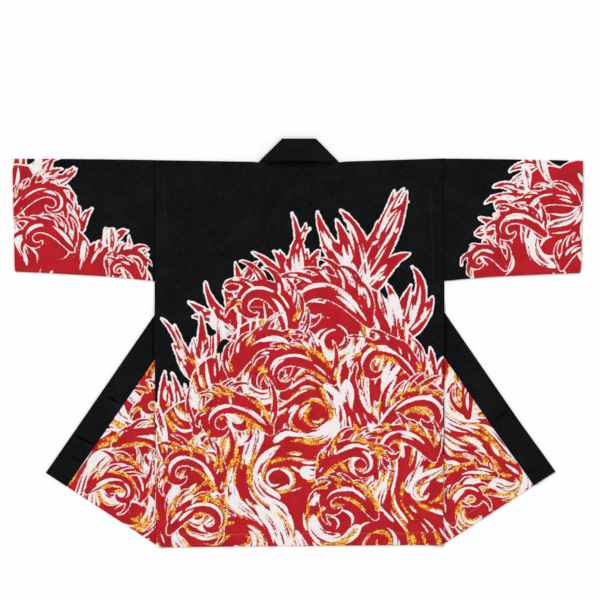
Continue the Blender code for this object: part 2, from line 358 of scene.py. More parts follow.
def sweep(start, heading, length, bend, curl=0.0, steps=STROKE_STEPS):
    """Points along a brush stroke that turns evenly by bend, and by curl near its end."""
    u = np.linspace(0, 1, steps)
    angle = np.radians(heading + bend * u + curl * u**3)
    step = length / (steps - 1)
    ways = np.stack([np.cos(angle), np.sin(angle)], 1)[:-1] * step
    return np.vstack([[start], start + np.cumsum(ways, 0)])


def tongue(steps, width):
    """Half widths of a stroke that swells a little and ends in a point."""
    u = np.linspace(0, 1, steps)
    swollen = TONGUE_ROOT + (1 - TONGUE_ROOT) * np.minimum(u / TONGUE_SWELLS, 1)
    return width * swollen * (1 - u) ** TONGUE_TAPER


def drop(steps, width, fat_at=0.35):
    """Half widths of a stroke that is pointed at both ends."""
    u = np.linspace(0, 1, steps)
    return width * np.sin(np.pi * u ** (math.log(0.5) / math.log(fat_at))) ** ROUNDNESS


def nearby(places, strokes):
    """Which places lie close enough to some strokes to be changed by them."""
    low = np.min([(line - widths[:, None]).min(0) for line, widths in strokes], 0) - FAR
    high = np.max([(line + widths[:, None]).max(0) for line, widths in strokes], 0) + FAR
    return np.flatnonzero(((places > low) & (places < high)).all(1))


def measured(places, line, widths):
    """Distances of places to a stroke's edge, and where they lie along and across it."""
    a, run = line[:-1], np.diff(line, axis=0)
    size = np.maximum((run**2).sum(1), TINY)
    lengths = np.sqrt(size)
    share = np.clip(((places - a) * run).sum(2) / size, 0, 1)
    gap = places - a - share[..., None] * run
    away = np.sqrt((gap**2).sum(2)) - (widths[:-1] + share * np.diff(widths))
    pick = away.argmin(1)
    rows = np.arange(len(places))
    before = np.concatenate([[0], np.cumsum(lengths)])[pick]
    along = before + share[rows, pick] * lengths[pick]
    turned = run[pick, 0] * gap[rows, pick, 1] - run[pick, 1] * gap[rows, pick, 0]
    return away[rows, pick], along, turned / lengths[pick]


class Print:
    """The dyes over the points of a piece of cloth, as distances to the edge of each colour."""

    def __init__(self, points):
        self.at = np.asarray(points, float)
        count = len(self.at)
        self.cover = np.full(count, FAR)  # below 0: not black
        self.red = np.full(count, FAR)  # below 0: red, if not black
        self.gold = np.full(count, FAR)  # below 0: gold, if not black
        self.grain = np.zeros((count, 3))  # place along and across the stroke, and its mark
        self.strokes = 0

    def fields(self):
        return {"dye_cover": self.cover, "dye_red": self.red, "dye_gold": self.gold}

    def reach(self, strokes):
        """Distance to the edge of the nearest of some strokes, for the points that are near."""
        near = nearby(self.at, strokes)
        best = np.full(len(near), FAR)
        grain = np.zeros((len(near), 3))
        for line, widths in strokes:
            self.strokes += 1
            here = nearby(self.at[near], [(line, widths)])
            if not len(here):
                continue
            away, along, across = measured(self.at[near][here][:, None], line, widths)
            nearer = away < best[here]
            best[here[nearer]] = away[nearer]
            mark = np.full(len(here), self.strokes * MARKS_APART)
            grain[here[nearer]] = np.stack([along, across, mark], 1)[nearer]
        return near, best, grain

    def paint_red(self, strokes, rim=RIM):
        """Red with a white rim, over all that is there."""
        near, away, grain = self.reach(strokes)
        outside = away - rim
        self.cover[near] = np.minimum(self.cover[near], outside)
        self.red[near] = np.minimum(np.maximum(self.red[near], -outside), away)
        self.gold[near] = np.maximum(self.gold[near], -outside)
        inside = outside < rim
        self.grain[near[inside]] = grain[inside]

    def paint_white(self, strokes):
        """White where the cloth isn't black."""
        near, away, _ = self.reach(strokes)
        self.red[near] = np.maximum(self.red[near], -away)
        self.gold[near] = np.maximum(self.gold[near], -away)

    def paint_gold(self, strokes):
        """Gold where the cloth isn't black."""
        near, away, _ = self.reach(strokes)
        self.gold[near] = np.minimum(self.gold[near], away)

    def paint_strands(self, strokes):
        """Red where the cloth is already white or gold."""
        near, away, _ = self.reach(strokes)
        self.red[near] = np.minimum(self.red[near], away)
        self.gold[near] = np.maximum(self.gold[near], -away)


def beside(line, share_from, share_to, shift, steps=STREAK_STEPS):
    """A stretch of a line, moved sideways; shift is one distance or one for each point."""
    u = np.linspace(0, len(line) - 1, READ_OFF_AT)
    pick = np.linspace(share_from, share_to, steps) * (READ_OFF_AT - 1)
    x, y = (np.interp(u, np.arange(len(line)), line[:, axis]) for axis in (0, 1))
    x, y = (np.interp(pick, np.arange(READ_OFF_AT), places) for places in (x, y))
    run_x, run_y = np.gradient(x), np.gradient(y)
    size = np.maximum(np.hypot(run_x, run_y), TINY)
    return np.stack([x - run_y / size * shift, y + run_x / size * shift], 1)


# Streaks inside a wider stroke: where one begins, how far it runs and where it ends at the latest
# are shares of that stroke, and its half width has a range and a share of that stroke's own
Streak = namedtuple("Streak", "begins runs ends_by widths width_share")
WHITE_STREAK = Streak((0.02, 0.6), (0.16, 0.42), 0.97, (0.0011, 0.0030), 0.05)
GOLD_STREAK = Streak((0, 0.45), (0.25, 0.45), 0.95, (0.0022, 0.0042), 0.06)
RED_STRAND = Streak((0, 0.5), (0.3, 0.6), 1, (0.0010, 0.0024), 0.0)
STREAKS_ASIDE = 0.62  # share of the half width
STREAKS_CLOSE_UP = 0.7  # towards the tip
STREAK_FATTEST = (0.25, 0.6)
STREAKED_ABOVE = 0.0055  # half width of a stroke
WIDTH_PER_STREAK = 0.0042
GOLD_INSIDE_EDGE = 0.001
STRANDS_ASIDE = 0.75
WIDTH_PER_STRAND = 0.0028


def stretch_of(draw, streak):
    """Where a streak begins and ends, as shares of the stroke that it is in."""
    begin = draw.uniform(*streak.begins)
    return begin, min(begin + draw.uniform(*streak.runs), streak.ends_by)


def streak_width(draw, streak, fat):
    return draw.uniform(*streak.widths) + fat * streak.width_share


def streaked(dyes, draw, line, widths, gilt):
    """White and gold strokes inside a red one, following its run."""
    fat = widths.max()
    if fat < STREAKED_ABOVE:
        return
    white, gold = [], []
    for _ in range(max(1, int(fat / WIDTH_PER_STREAK))):
        begin, end = stretch_of(draw, WHITE_STREAK)
        shift = draw.uniform(-STREAKS_ASIDE, STREAKS_ASIDE) * fat * (1 - STREAKS_CLOSE_UP * end)
        width = streak_width(draw, WHITE_STREAK, fat)
        fattest = draw.uniform(*STREAK_FATTEST)
        white.append((beside(line, begin, end, shift), drop(STREAK_STEPS, width, fattest)))
    for side in (-1, 1):
        if draw.random() < gilt:
            begin, end = stretch_of(draw, GOLD_STREAK)
            shares = np.linspace(0, 1, len(widths))
            local = np.interp(np.linspace(begin, end, STREAK_STEPS), shares, widths)
            path = beside(line, begin, end, side * (local - GOLD_INSIDE_EDGE))
            gold.append((path, drop(STREAK_STEPS, streak_width(draw, GOLD_STREAK, fat))))
    if gold:
        dyes.paint_gold(gold)
    dyes.paint_white(white)


# A crest of water; lengths and widths are shares of its size
CREST_LENGTH = 2.7
CREST_BEND = 75
CREST_CURL = 250
CREST_WIDTH = 0.22
CREST_FAT_TOWARDS_ROOT = 0.72
CREST_END_WIDTH = 0.0016
CLAWS_FROM = 0.06
CLAWS_OVER = 0.74
CLAW_STRAYS = 0.03
CLAW_REACH = (0.75, 1.15)
CLAW_AT_ROOT = 1.15  # and shorter along the body
CLAWS_SHORTEN = 0.6
CLAW_LEAN = (38, 62)
CLAW_BEND = (35, 75)
CLAW_CURL = (10, 70)
CLAW_WIDTH = (0.085, 0.12)


def crest(dyes, draw, at, heading, size, hand, claws, gilt):
    """A curling crest of water: a body that ends in a scroll, with claws of foam on its back."""
    length = CREST_LENGTH * size
    body = sweep(at, heading, length, hand * CREST_BEND, hand * CREST_CURL, CREST_STEPS)
    u = np.linspace(0, 1, CREST_STEPS)
    body_widths = size * CREST_WIDTH * np.sin(np.pi * u**CREST_FAT_TOWARDS_ROOT) ** ROUNDNESS
    strokes = [(body, body_widths + CREST_END_WIDTH)]
    angles = np.degrees(np.arctan2(*np.gradient(body, axis=0).T[::-1]))
    for claw in range(claws):
        share = CLAWS_FROM + CLAWS_OVER * claw / max(claws - 1, 1)
        share = share + draw.uniform(-CLAW_STRAYS, CLAW_STRAYS)
        root = int(np.clip(share, 0, 1) * (CREST_STEPS - 1))
        reach = size * draw.uniform(*CLAW_REACH) * (CLAW_AT_ROOT - CLAWS_SHORTEN * share)
        lean = -hand * draw.uniform(*CLAW_LEAN)
        bend, curl = hand * draw.uniform(*CLAW_BEND), hand * draw.uniform(*CLAW_CURL)
        line = sweep(body[root], angles[root] + lean, reach, bend, curl)
        strokes.append((line, tongue(len(line), size * draw.uniform(*CLAW_WIDTH))))
    dyes.paint_red(strokes, CREST_RIM)
    for line, widths in strokes:
        streaked(dyes, draw, line, widths, gilt)


# A fan of spray; barbs come off the sides of its spouts
SPOUT_REACH = (0.6, 1.05)
SPOUT_ROOTS_APART = 0.9  # in widths
SPOUT_BEND = (5, 45)
SPOUT_CURL = (-60, 70)
SPOUT_WIDTH = (0.7, 1.1)
BARB_CHANCE = 0.7
BARB_AT = (0.25, 0.7)
BARB_LEAN = (14, 34)
BARB_REACH = (0.16, 0.34)
BARB_BEND = (0, 50)
BARB_WIDTH = (0.35, 0.6)


def plumes(dyes, draw, at, heading, spread, count, length, width, hand, gilt):
    """A fan of long tapering spouts of spray, with smaller ones off their sides."""
    strokes = []
    for spout in range(count):
        share = (spout + 0.5) / count - 0.5
        reach = length * draw.uniform(*SPOUT_REACH) * (1 - 0.5 * abs(share))
        start = np.array(at) + SPOUT_ROOTS_APART * width * draw.uniform(-1, 1, 2)
        bend, curl = hand * draw.uniform(*SPOUT_BEND), hand * draw.uniform(*SPOUT_CURL)
        line = sweep(start, heading + spread * share, reach, bend, curl)
        fat = width * draw.uniform(*SPOUT_WIDTH)
        strokes.append((line, tongue(len(line), fat)))
        for side in (-1, 1):
            if draw.random() < BARB_CHANCE:
                root = int(draw.uniform(*BARB_AT) * len(line))
                run = line[min(root + 1, len(line) - 1)] - line[root - 1]
                lean = math.degrees(math.atan2(run[1], run[0])) + side * draw.uniform(*BARB_LEAN)
                barb_reach = reach * draw.uniform(*BARB_REACH)
                bend = -side * draw.uniform(*BARB_BEND)
                barb = sweep(line[root], lean, barb_reach, bend, steps=BARB_STEPS)
                strokes.append((barb, tongue(BARB_STEPS, fat * draw.uniform(*BARB_WIDTH))))
    dyes.paint_red(strokes)
    for line, widths in strokes:
        streaked(dyes, draw, line, widths, gilt)


DRIFT = math.radians(100)
EYE = 1e-6  # of a swirl, where nothing turns


def current(x, y, swirls):
    """Which way the water runs at a place: an even drift, turned by the swirls."""
    run_x, run_y = math.cos(DRIFT), math.sin(DRIFT)
    for swirl in swirls:
        aside_x, aside_y = x - swirl.x, y - swirl.y
        away = math.hypot(aside_x, aside_y) + EYE
        pull = swirl.turn * math.exp(-((away / swirl.radius) ** 2))
        run_x, run_y = run_x - aside_y / away * pull, run_y + aside_x / away * pull
    return math.atan2(run_y, run_x)


def carried(start, length, swirls):
    """Points along a stroke that the water carries."""
    line, step = [tuple(start)], length / (CARRIED_STEPS - 1)
    for _ in range(CARRIED_STEPS - 1):
        x, y = line[-1]
        heading = current(x, y, swirls)
        line.append((x + step * math.cos(heading), y + step * math.sin(heading)))
    return np.array(line)


BLOT_HALF_LENGTH = 0.004


def blot(spot):
    """A round stroke."""
    left, right = spot.x - BLOT_HALF_LENGTH, spot.x + BLOT_HALF_LENGTH
    return np.array([(left, spot.y), (right, spot.y)]), np.full(2, spot.radius)


# Strokes in the red water, and how their kinds are shared out
STROKE_LENGTH = (0.025, 0.080)
STROKE_WIDTH = (0.0016, 0.0046)
STROKE_FATTEST = (0.22, 0.7)
BROAD_SHARE = 0.243  # of the white ones
BROAD_LENGTH = (0.06, 0.13)
BROAD_WIDTH = (0.009, 0.017)
FEWER_WHITES = 0.25  # towards the hem
FEWER_BELOW = -0.22
FEWER_OVER = 0.12
GILT_SHARE = 0.46
GILT_OVER = 0.15
GILT_ASIDE = 0.7  # share of the stroke's half width
GILT_WIDTH = (0.0015, 0.004)
GILT_WIDTH_SHARE = 0.4
GILT_FATTEST = (0.3, 0.6)
SITE_STRAYS = 0.45  # share of the spacing
WELL_WITHIN = 0.97  # share of a spot's radius


def sites_in(draw, ground, spacing):
    """Scattered places within the spots of the ground."""
    low_x, high_x = min(g.x - g.radius for g in ground), max(g.x + g.radius for g in ground)
    low_y, high_y = min(g.y - g.radius for g in ground), max(g.y + g.radius for g in ground)
    sites = [
        (
            x + draw.uniform(-SITE_STRAYS, SITE_STRAYS) * spacing,
            y + draw.uniform(-SITE_STRAYS, SITE_STRAYS) * spacing,
        )
        for y in np.arange(high_y, low_y, -spacing)
        for x in np.arange(low_x, high_x, spacing)
    ]
    return [
        (x, y)
        for x, y in sites
        if any(math.hypot(x - g.x, y - g.y) < g.radius * WELL_WITHIN for g in ground)
    ]


def wash(dyes, draw, ground, swirls, spacing, gilt_below, white_share):
    """Red water with white and gold strands in it, that run with the current."""
    dyes.paint_red([blot(spot) for spot in ground])
    for spot in ground:
        dyes.grain[np.hypot(*(dyes.at - (spot.x, spot.y)).T) < spot.radius + RIM] = 0
    for site in sites_in(draw, ground, spacing):
        kind = draw.random()
        length, fat = draw.uniform(*STROKE_LENGTH), draw.uniform(*STROKE_WIDTH)
        whites = white_share - FEWER_WHITES * np.clip((FEWER_BELOW - site[1]) / FEWER_OVER, 0, 1)
        broad = kind < BROAD_SHARE * whites
        if broad:
            length, fat = draw.uniform(*BROAD_LENGTH), draw.uniform(*BROAD_WIDTH)
        line = carried(site, length, swirls)
        if draw.random() < GILT_SHARE * np.clip((gilt_below - site[1]) / GILT_OVER, 0, 1):
            edge = beside(line, 0, 1, draw.choice((-1, 1)) * fat * GILT_ASIDE, len(line))
            width = fat * GILT_WIDTH_SHARE + draw.uniform(*GILT_WIDTH)
            dyes.paint_gold([(edge, drop(len(line), width, draw.uniform(*GILT_FATTEST)))])
        if kind < whites:
            dyes.paint_white([(line, drop(len(line), fat, draw.uniform(*STROKE_FATTEST)))])
        if broad:
            for _ in range(int(fat / WIDTH_PER_STRAND)):
                shift = draw.uniform(-STRANDS_ASIDE, STRANDS_ASIDE) * fat
                strand = beside(line, *stretch_of(draw, RED_STRAND), shift, STRAND_STEPS)
                width = streak_width(draw, RED_STRAND, fat)
                dyes.paint_strands([(strand, drop(STRAND_STEPS, width))])


Crest = namedtuple("Crest", "x y heading size hand claws gilt")
Fan = namedtuple("Fan", "x y heading spread count length width hand gilt")
Swirl = namedtuple("Swirl", "x y radius turn")
Spot = namedtuple("Spot", "x y radius")


def each(kind, *rows):
    return tuple(kind(*row) for row in rows)


def put_down(dyes, draw, row):
    if isinstance(row, Fan):
        plumes(dyes, draw, (row.x, row.y), *row[2:])
    elif isinstance(row, Spot):
        dyes.paint_red([blot(row)])
    else:
        crest(dyes, draw, (row.x, row.y), *row[2:])


def picture(points, seed, ground, swirls, fans, crests, gilt_below, spacing, white_share):
    """Spray first, then the water over its roots, and the crests on top."""
    dyes, draw = Print(points), np.random.default_rng(seed)
    for row in fans:
        put_down(dyes, draw, row)
    wash(dyes, draw, ground, swirls, spacing, gilt_below, white_share)
    for row in crests:
        put_down(dyes, draw, row)
    return dyes


NO_GILT = -9.0  # below any place

FRONT_GROUND = each(
    Spot,
    (-0.200, -0.440, 0.130), (-0.110, -0.380, 0.110), (-0.230, -0.330, 0.110),
    (-0.110, -0.260, 0.110), (-0.200, -0.200, 0.110), (-0.100, -0.140, 0.100),
    (-0.310, -0.420, 0.080), (-0.170, -0.080, 0.100), (-0.110, 0.000, 0.080),
    (-0.080, -0.460, 0.080),
)

PICTURES = {
    "back": dict(
        seed=11,
        ground=each(
            Spot,
            (0.125, 0.050, 0.075), (0.030, 0.020, 0.070), (-0.080, -0.020, 0.070),
            (0.190, -0.030, 0.070), (-0.160, -0.100, 0.075), (0.020, -0.090, 0.120),
            (0.160, -0.120, 0.110), (-0.100, -0.180, 0.120), (-0.225, -0.210, 0.085),
            (0.250, -0.160, 0.080), (0.120, -0.230, 0.130), (-0.020, -0.270, 0.130),
            (-0.190, -0.310, 0.120), (0.260, -0.290, 0.110), (-0.280, -0.360, 0.080),
            (0.090, -0.360, 0.130), (-0.070, -0.400, 0.130), (-0.240, -0.430, 0.120),
            (0.230, -0.410, 0.130), (0.310, -0.400, 0.100), (0.070, -0.450, 0.120),
            (-0.330, -0.440, 0.060),
        ),
        swirls=each(
            Swirl,
            (0.090, 0.010, 0.090, 2.2), (-0.090, -0.090, 0.085, -2.2),
            (0.215, -0.110, 0.080, -2.0), (0.045, -0.155, 0.080, 2.4),
            (-0.190, -0.215, 0.080, 2.0), (0.150, -0.265, 0.085, 2.2),
            (-0.060, -0.300, 0.085, -2.3), (0.270, -0.330, 0.075, -2.0),
            (-0.230, -0.380, 0.080, -2.0), (0.060, -0.400, 0.080, -2.0),
            (-0.110, -0.440, 0.070, 2.0), (0.190, -0.440, 0.070, 2.2),
        ),
        fans=each(
            Fan,
            (0.130, 0.100, 80, 78, 9, 0.29, 0.0284, 1, 0.0),
            (0.020, 0.070, 112, 64, 7, 0.22, 0.0243, -1, 0.0),
            (-0.110, 0.015, 118, 66, 7, 0.20, 0.0216, -1, 0.0),
            (0.225, 0.010, 62, 60, 6, 0.18, 0.0203, 1, 0.0),
            (-0.215, -0.075, 112, 60, 6, 0.16, 0.0189, -1, 0.1),
            (0.290, -0.110, 84, 46, 5, 0.14, 0.0175, 1, 0.2),
            (-0.270, -0.190, 108, 50, 6, 0.14, 0.0175, -1, 0.3),
            (-0.315, -0.300, 98, 40, 5, 0.13, 0.0162, -1, 0.4),
        )
        + each(
            Spot,
            (-0.078, 0.070, 0.030), (0.064, 0.158, 0.013), (-0.147, 0.127, 0.012),
        ),
        crests=each(
            Crest,
            (0.160, 0.035, 118, 0.115, 1, 8, 0.1),
            (-0.020, -0.010, 84, 0.100, 1, 7, 0.1),
            (-0.150, -0.080, 72, 0.095, -1, 7, 0.2),
            (0.270, -0.090, 112, 0.090, 1, 7, 0.3),
            (0.080, -0.090, 125, 0.095, 1, 7, 0.4),
            (-0.230, -0.200, 66, 0.085, -1, 7, 0.5),
            (0.180, -0.190, 62, 0.090, -1, 7, 0.6),
            (-0.060, -0.200, 122, 0.095, 1, 7, 0.6),
            (0.300, -0.260, 118, 0.080, 1, 6, 0.7),
            (-0.170, -0.330, 108, 0.085, 1, 7, 0.8),
            (0.040, -0.300, 64, 0.085, -1, 7, 0.8),
            (0.170, -0.390, 112, 0.080, 1, 6, 0.8),
            (-0.290, -0.420, 62, 0.080, -1, 6, 0.8),
        ),
        gilt_below=0.06,
        spacing=0.025,
        white_share=0.70,
    ),
    "sleeve_left": dict(
        seed=5,
        ground=each(
            Spot,
            (-0.565, 0.300, 0.045), (-0.620, 0.330, 0.060), (-0.600, 0.240, 0.065),
            (-0.520, 0.190, 0.055), (-0.450, 0.150, 0.050), (-0.610, 0.150, 0.070),
            (-0.370, 0.130, 0.040), (-0.530, 0.245, 0.040), (-0.430, 0.175, 0.040),
        ),
        swirls=each(
            Swirl,
            (-0.60, 0.28, 0.06, -2), (-0.52, 0.19, 0.06, 2), (-0.44, 0.15, 0.05, -2),
        ),
        fans=each(
            Fan,
            (-0.600, 0.330, 58, 80, 8, 0.15, 0.0203, -1, 0),
            (-0.505, 0.235, 80, 60, 7, 0.14, 0.0175, 1, 0),
            (-0.425, 0.180, 84, 50, 5, 0.10, 0.0149, -1, 0),
            (-0.365, 0.150, 92, 40, 4, 0.09, 0.0121, -1, 0),
        ),
        crests=each(
            Crest,
            (-0.630, 0.270, 66, 0.075, -1, 7, 0),
            (-0.500, 0.190, 115, 0.070, 1, 7, 0),
            (-0.420, 0.140, 70, 0.055, -1, 6, 0),
            (-0.350, 0.125, 105, 0.045, 1, 5, 0),
        ),
        gilt_below=NO_GILT,
        spacing=0.022,
        white_share=0.36,
    ),
    "sleeve_right": dict(
        seed=8,
        ground=each(
            Spot,
            (0.625, 0.350, 0.055), (0.600, 0.260, 0.060), (0.560, 0.180, 0.055),
            (0.620, 0.150, 0.070), (0.490, 0.150, 0.050), (0.555, 0.345, 0.045),
            (0.525, 0.275, 0.050), (0.480, 0.205, 0.050), (0.435, 0.150, 0.045),
        ),
        swirls=each(
            Swirl,
            (0.60, 0.30, 0.06, 2), (0.55, 0.20, 0.06, -2), (0.46, 0.17, 0.05, 2),
        ),
        fans=each(
            Fan,
            (0.565, 0.365, 172, 66, 7, 0.15, 0.0189, 1, 0),
            (0.525, 0.300, 158, 66, 7, 0.12, 0.0175, 1, 0),
            (0.470, 0.225, 146, 60, 6, 0.11, 0.0162, 1, 0),
            (0.425, 0.165, 132, 56, 5, 0.08, 0.0135, -1, 0),
        )
        + each(
            Spot,
            (0.449, 0.300, 0.012),
        ),
        crests=each(
            Crest,
            (0.625, 0.300, 150, 0.075, 1, 7, 0),
            (0.550, 0.225, 122, 0.070, 1, 7, 0),
            (0.460, 0.150, 112, 0.055, 1, 6, 0),
            (0.585, 0.145, 78, 0.055, -1, 6, 0),
        ),
        gilt_below=NO_GILT,
        spacing=0.022,
        white_share=0.36,
    ),
    "front_left": dict(
        seed=15,
        ground=FRONT_GROUND,
        swirls=each(
            Swirl,
            (-0.150, -0.370, 0.075, 2.2), (-0.240, -0.420, 0.065, -2.2),
            (-0.120, -0.240, 0.070, -2.2), (-0.200, -0.270, 0.060, 2.0),
            (-0.130, -0.120, 0.060, 2.0),
        ),
        fans=each(
            Fan,
            (-0.140, 0.030, 96, 70, 6, 0.16, 0.016, 1, 0.2),
        ),
        crests=each(
            Crest,
            (-0.120, -0.150, 100, 0.075, 1, 7, 0.6),
            (-0.210, -0.230, 70, 0.070, -1, 6, 0.7),
            (-0.110, -0.320, 112, 0.075, 1, 7, 0.7),
            (-0.230, -0.390, 64, 0.065, -1, 6, 0.8),
            (-0.120, -0.440, 100, 0.065, 1, 6, 0.8),
        ),
        gilt_below=0.1,
        spacing=0.022,
        white_share=0.62,
    ),
    "front_right": dict(
        seed=18,
        ground=tuple(spot._replace(x=-spot.x) for spot in FRONT_GROUND),
        swirls=each(
            Swirl,
            (0.160, -0.330, 0.075, -2.2), (0.230, -0.430, 0.065, 2.2),
            (0.110, -0.210, 0.070, 2.2), (0.210, -0.250, 0.060, -2.0),
            (0.110, -0.420, 0.060, -2.0),
        ),
        fans=each(
            Fan,
            (0.150, 0.020, 84, 70, 6, 0.16, 0.016, -1, 0.2),
        ),
        crests=each(
            Crest,
            (0.190, -0.170, 78, 0.075, -1, 7, 0.6),
            (0.110, -0.250, 108, 0.072, 1, 7, 0.7),
            (0.220, -0.330, 70, 0.070, -1, 6, 0.7),
            (0.130, -0.390, 60, 0.070, -1, 6, 0.8),
            (0.270, -0.430, 110, 0.060, 1, 6, 0.8),
        ),
        gilt_below=0.1,
        spacing=0.022,
        white_share=0.72,
    ),
}


def printed_with(name):
    """The dyes of one piece's picture, for its points."""
    return lambda points: picture(points, **PICTURES[name])


# Making a piece of cloth

SAME_PLACE = 1e-6
NO_WIDTH = 5e-6  # of a face that is no more than a line
TURN_STEPS = 6
ROUNDED = 0.35 * MM  # rim of a body panel
SLEEVE_ROUNDED = 0.3 * MM
BAND_ROUNDED = 0.8 * MM
EDGE_NET = 3 * MM  # spacing of a net near an edge
PLAIN_NET = 8 * MM


def points_of(piece):
    places = np.zeros(len(piece.data.vertices) * 3)
    piece.data.vertices.foreach_get("co", places)
    return places.reshape(-1, 3)


def put(piece, places):
    piece.data.vertices.foreach_set("co", np.ascontiguousarray(places, dtype=np.float32).ravel())
    piece.data.update()


def spaced(*stops):
    """Places of a net's lines: each stop is a place and, but for the last, the spacing after it."""
    lines = []
    for (start, spacing), (end, _) in zip(stops, stops[1:]):
        count = max(1, round((end - start) / spacing))
        lines.extend(start + (end - start) * step / count for step in range(count))
    return lines + [stops[-1][0]]


def from_hem(hem, within, above):
    """A net's first rows, fine at a hem's edge and where its stitches are."""
    return (
        (hem, EDGE_NET),
        (hem + EDGE_NET, within),
        (hem + HEM_DEPTH - 4 * MM, EDGE_NET),
        (hem + HEM_DEPTH + 2 * MM, above),
    )


def across_band(low, high):
    """A net's lines over the width of the collar, fine at both edges."""
    fine = 1.5 * MM
    return spaced((low, fine), (low + 3 * MM, 5 * MM), (high - 3 * MM, fine), (high, 0))


def cut_flat(name, columns, rows):
    """A flat sheet on a net of columns and rows."""
    bpy.ops.object.select_all(action="DESELECT")
    bpy.ops.mesh.primitive_grid_add(
        x_subdivisions=len(columns) - 1, y_subdivisions=len(rows) - 1, size=2, location=(0, 0, 0)
    )
    sheet = bpy.context.object
    sheet.name = name
    places = points_of(sheet)
    for axis, lines in ((0, columns), (1, rows)):
        order = np.rint((places[:, axis] + 1) / 2 * (len(lines) - 1)).astype(int)
        places[:, axis] = np.asarray(lines)[order]
    put(sheet, places)
    return sheet


def edit(piece):
    bpy.ops.object.select_all(action="DESELECT")
    bpy.context.view_layer.objects.active = piece
    piece.select_set(True)
    bpy.ops.object.mode_set(mode="EDIT")


def mirror_over(piece):
    """Moves a piece over to the other side of the coat, with its faces outwards again."""
    places = points_of(piece)
    places[:, 0] *= -1
    put(piece, places)
    edit(piece)
    bpy.ops.mesh.select_all(action="SELECT")
    bpy.ops.mesh.flip_normals()
    bpy.ops.object.mode_set(mode="OBJECT")


def bisect(sheet, line, clear=False):
    """Creases the sheet along a line, or trims away what lies past it."""
    edit(sheet)
    bpy.ops.mesh.select_all(action="SELECT")
    bpy.ops.mesh.bisect(
        plane_co=(line.x, line.y, 0),
        plane_no=(line.out_x, line.out_y, 0),
        clear_outer=clear,
        threshold=SAME_PLACE,
    )
    bpy.ops.object.mode_set(mode="OBJECT")


def turns(length):
    """Where a fold is creased, as distances from its start, so that it bends smoothly."""
    return [length * step / TURN_STEPS for step in range(TURN_STEPS + 1)]


def thicken(sheet, thickness, round_by):
    """Gives the flat sheet its thickness and a rounded rim."""
    edit(sheet)
    bpy.ops.mesh.select_all(action="SELECT")
    bpy.ops.mesh.extrude_region_move(TRANSFORM_OT_translate={"value": (0, 0, thickness)})
    bpy.ops.mesh.select_all(action="SELECT")
    bpy.ops.mesh.normals_make_consistent(inside=False)
    shape = bmesh.from_edit_mesh(sheet.data)
    bpy.ops.mesh.select_all(action="DESELECT")
    bpy.ops.mesh.select_mode(type="EDGE")
    for edge in shape.edges:
        flat = sum(abs(face.normal.z) > 0.5 for face in edge.link_faces)
        edge.select_set(flat == 1)
    bmesh.update_edit_mesh(sheet.data)
    bpy.ops.mesh.bevel(offset=round_by, segments=3, affect="EDGES", clamp_overlap=True)
    bpy.ops.mesh.select_all(action="SELECT")
    bpy.ops.mesh.dissolve_degenerate(threshold=NO_WIDTH)
    bpy.ops.object.mode_set(mode="OBJECT")


def pick_faces(sheet, wanted):
    """Selects the faces that are wanted, and says whether there are any."""
    shape = bmesh.from_edit_mesh(sheet.data)
    picked = [face for face in shape.faces if wanted(face)]
    for face in picked:
        face.select_set(True)
    bmesh.update_edit_mesh(sheet.data)
    return bool(picked)


def refine(sheet, chosen, cuts):
    """Subdivides the flat faces that chosen picks by middle and by the way they face."""

    def wanted(face):
        flat = abs(face.normal.z) > 0.9
        return flat and chosen(face.calc_center_median(), face.normal.z)

    edit(sheet)
    bpy.ops.mesh.select_all(action="DESELECT")
    bpy.ops.mesh.select_mode(type="FACE")
    if pick_faces(sheet, lambda face: len(face.verts) > 4 and wanted(face)):
        bpy.ops.mesh.quads_convert_to_tris()
    pick_faces(sheet, wanted)
    bpy.ops.mesh.subdivide(number_cuts=cuts)
    bpy.ops.object.mode_set(mode="OBJECT")


def keep(piece, name, values, kind="FLOAT", entry="value"):
    """Keeps values on the points of a piece for its finish."""
    attribute = piece.data.attributes.new(name, kind, "POINT")
    attribute.data.foreach_set(entry, values.astype(np.float32).ravel())


def keep_cut(piece, flat):
    """Keeps where each point was cut, for what follows the weave."""
    mesh = piece.data
    corners = np.zeros(len(mesh.loops), int)
    mesh.loops.foreach_get("vertex_index", corners)
    cut = mesh.uv_layers[0] if mesh.uv_layers else mesh.uv_layers.new(name="cut")
    cut.name = "cut"
    cut.data.foreach_set("uv", flat[corners][:, :2].astype(np.float32).ravel())


def lay_down(piece, thickness, lay, relief, wear_and_painted_light, side=1, dyes=None, shown=1):
    """Lays the flat piece in its place, and keeps what its finish reads.

    lay gives the middle of the cloth for points of the flat cut, relief how far the upper side of
    the cloth stands proud of it, and rubbed how much lighter it is from wear and painted sheen, up
    to 1, and how much darker from painted shade, down to -1.
    side -1 is the mirror image. shown is -1 where the cloth is turned over, so that its under
    side shows.
    """
    flat = points_of(piece)
    x, y, through = flat[:, 0], flat[:, 1], flat[:, 2] - thickness / 2
    step = 0.05 * MM
    along = lay(x + step, y) - lay(x - step, y)
    across = lay(x, y + step) - lay(x, y - step)
    normal = np.cross(along, across)
    normal /= np.maximum(np.linalg.norm(normal, axis=1, keepdims=True), TINY)
    proud = through + shown * relief(x, y) * np.clip(2 * shown * through / thickness, 0, 1)
    keep_cut(piece, flat)
    # Above 0 lighter from wear and painted sheen on crease tops, below 0 darker from painted shade
    keep(piece, "wear_and_painted_light", np.clip(wear_and_painted_light(x, y), -1, 1))
    if dyes is not None:
        painted = dyes(np.stack([x * side, y], 1))
        for name, values in painted.fields().items():
            keep(piece, name, values)
        keep(piece, "stroke", painted.grain, "FLOAT_VECTOR", "vector")
    put(piece, lay(x, y) + normal * proud[:, None])
    if side < 0:
        mirror_over(piece)
    piece.data.shade_smooth()
    return piece


def heights(x, y, z):
    """Points laid at their own place, at a height."""
    return np.stack([x, y, z + np.zeros_like(x)], 1)


# The back

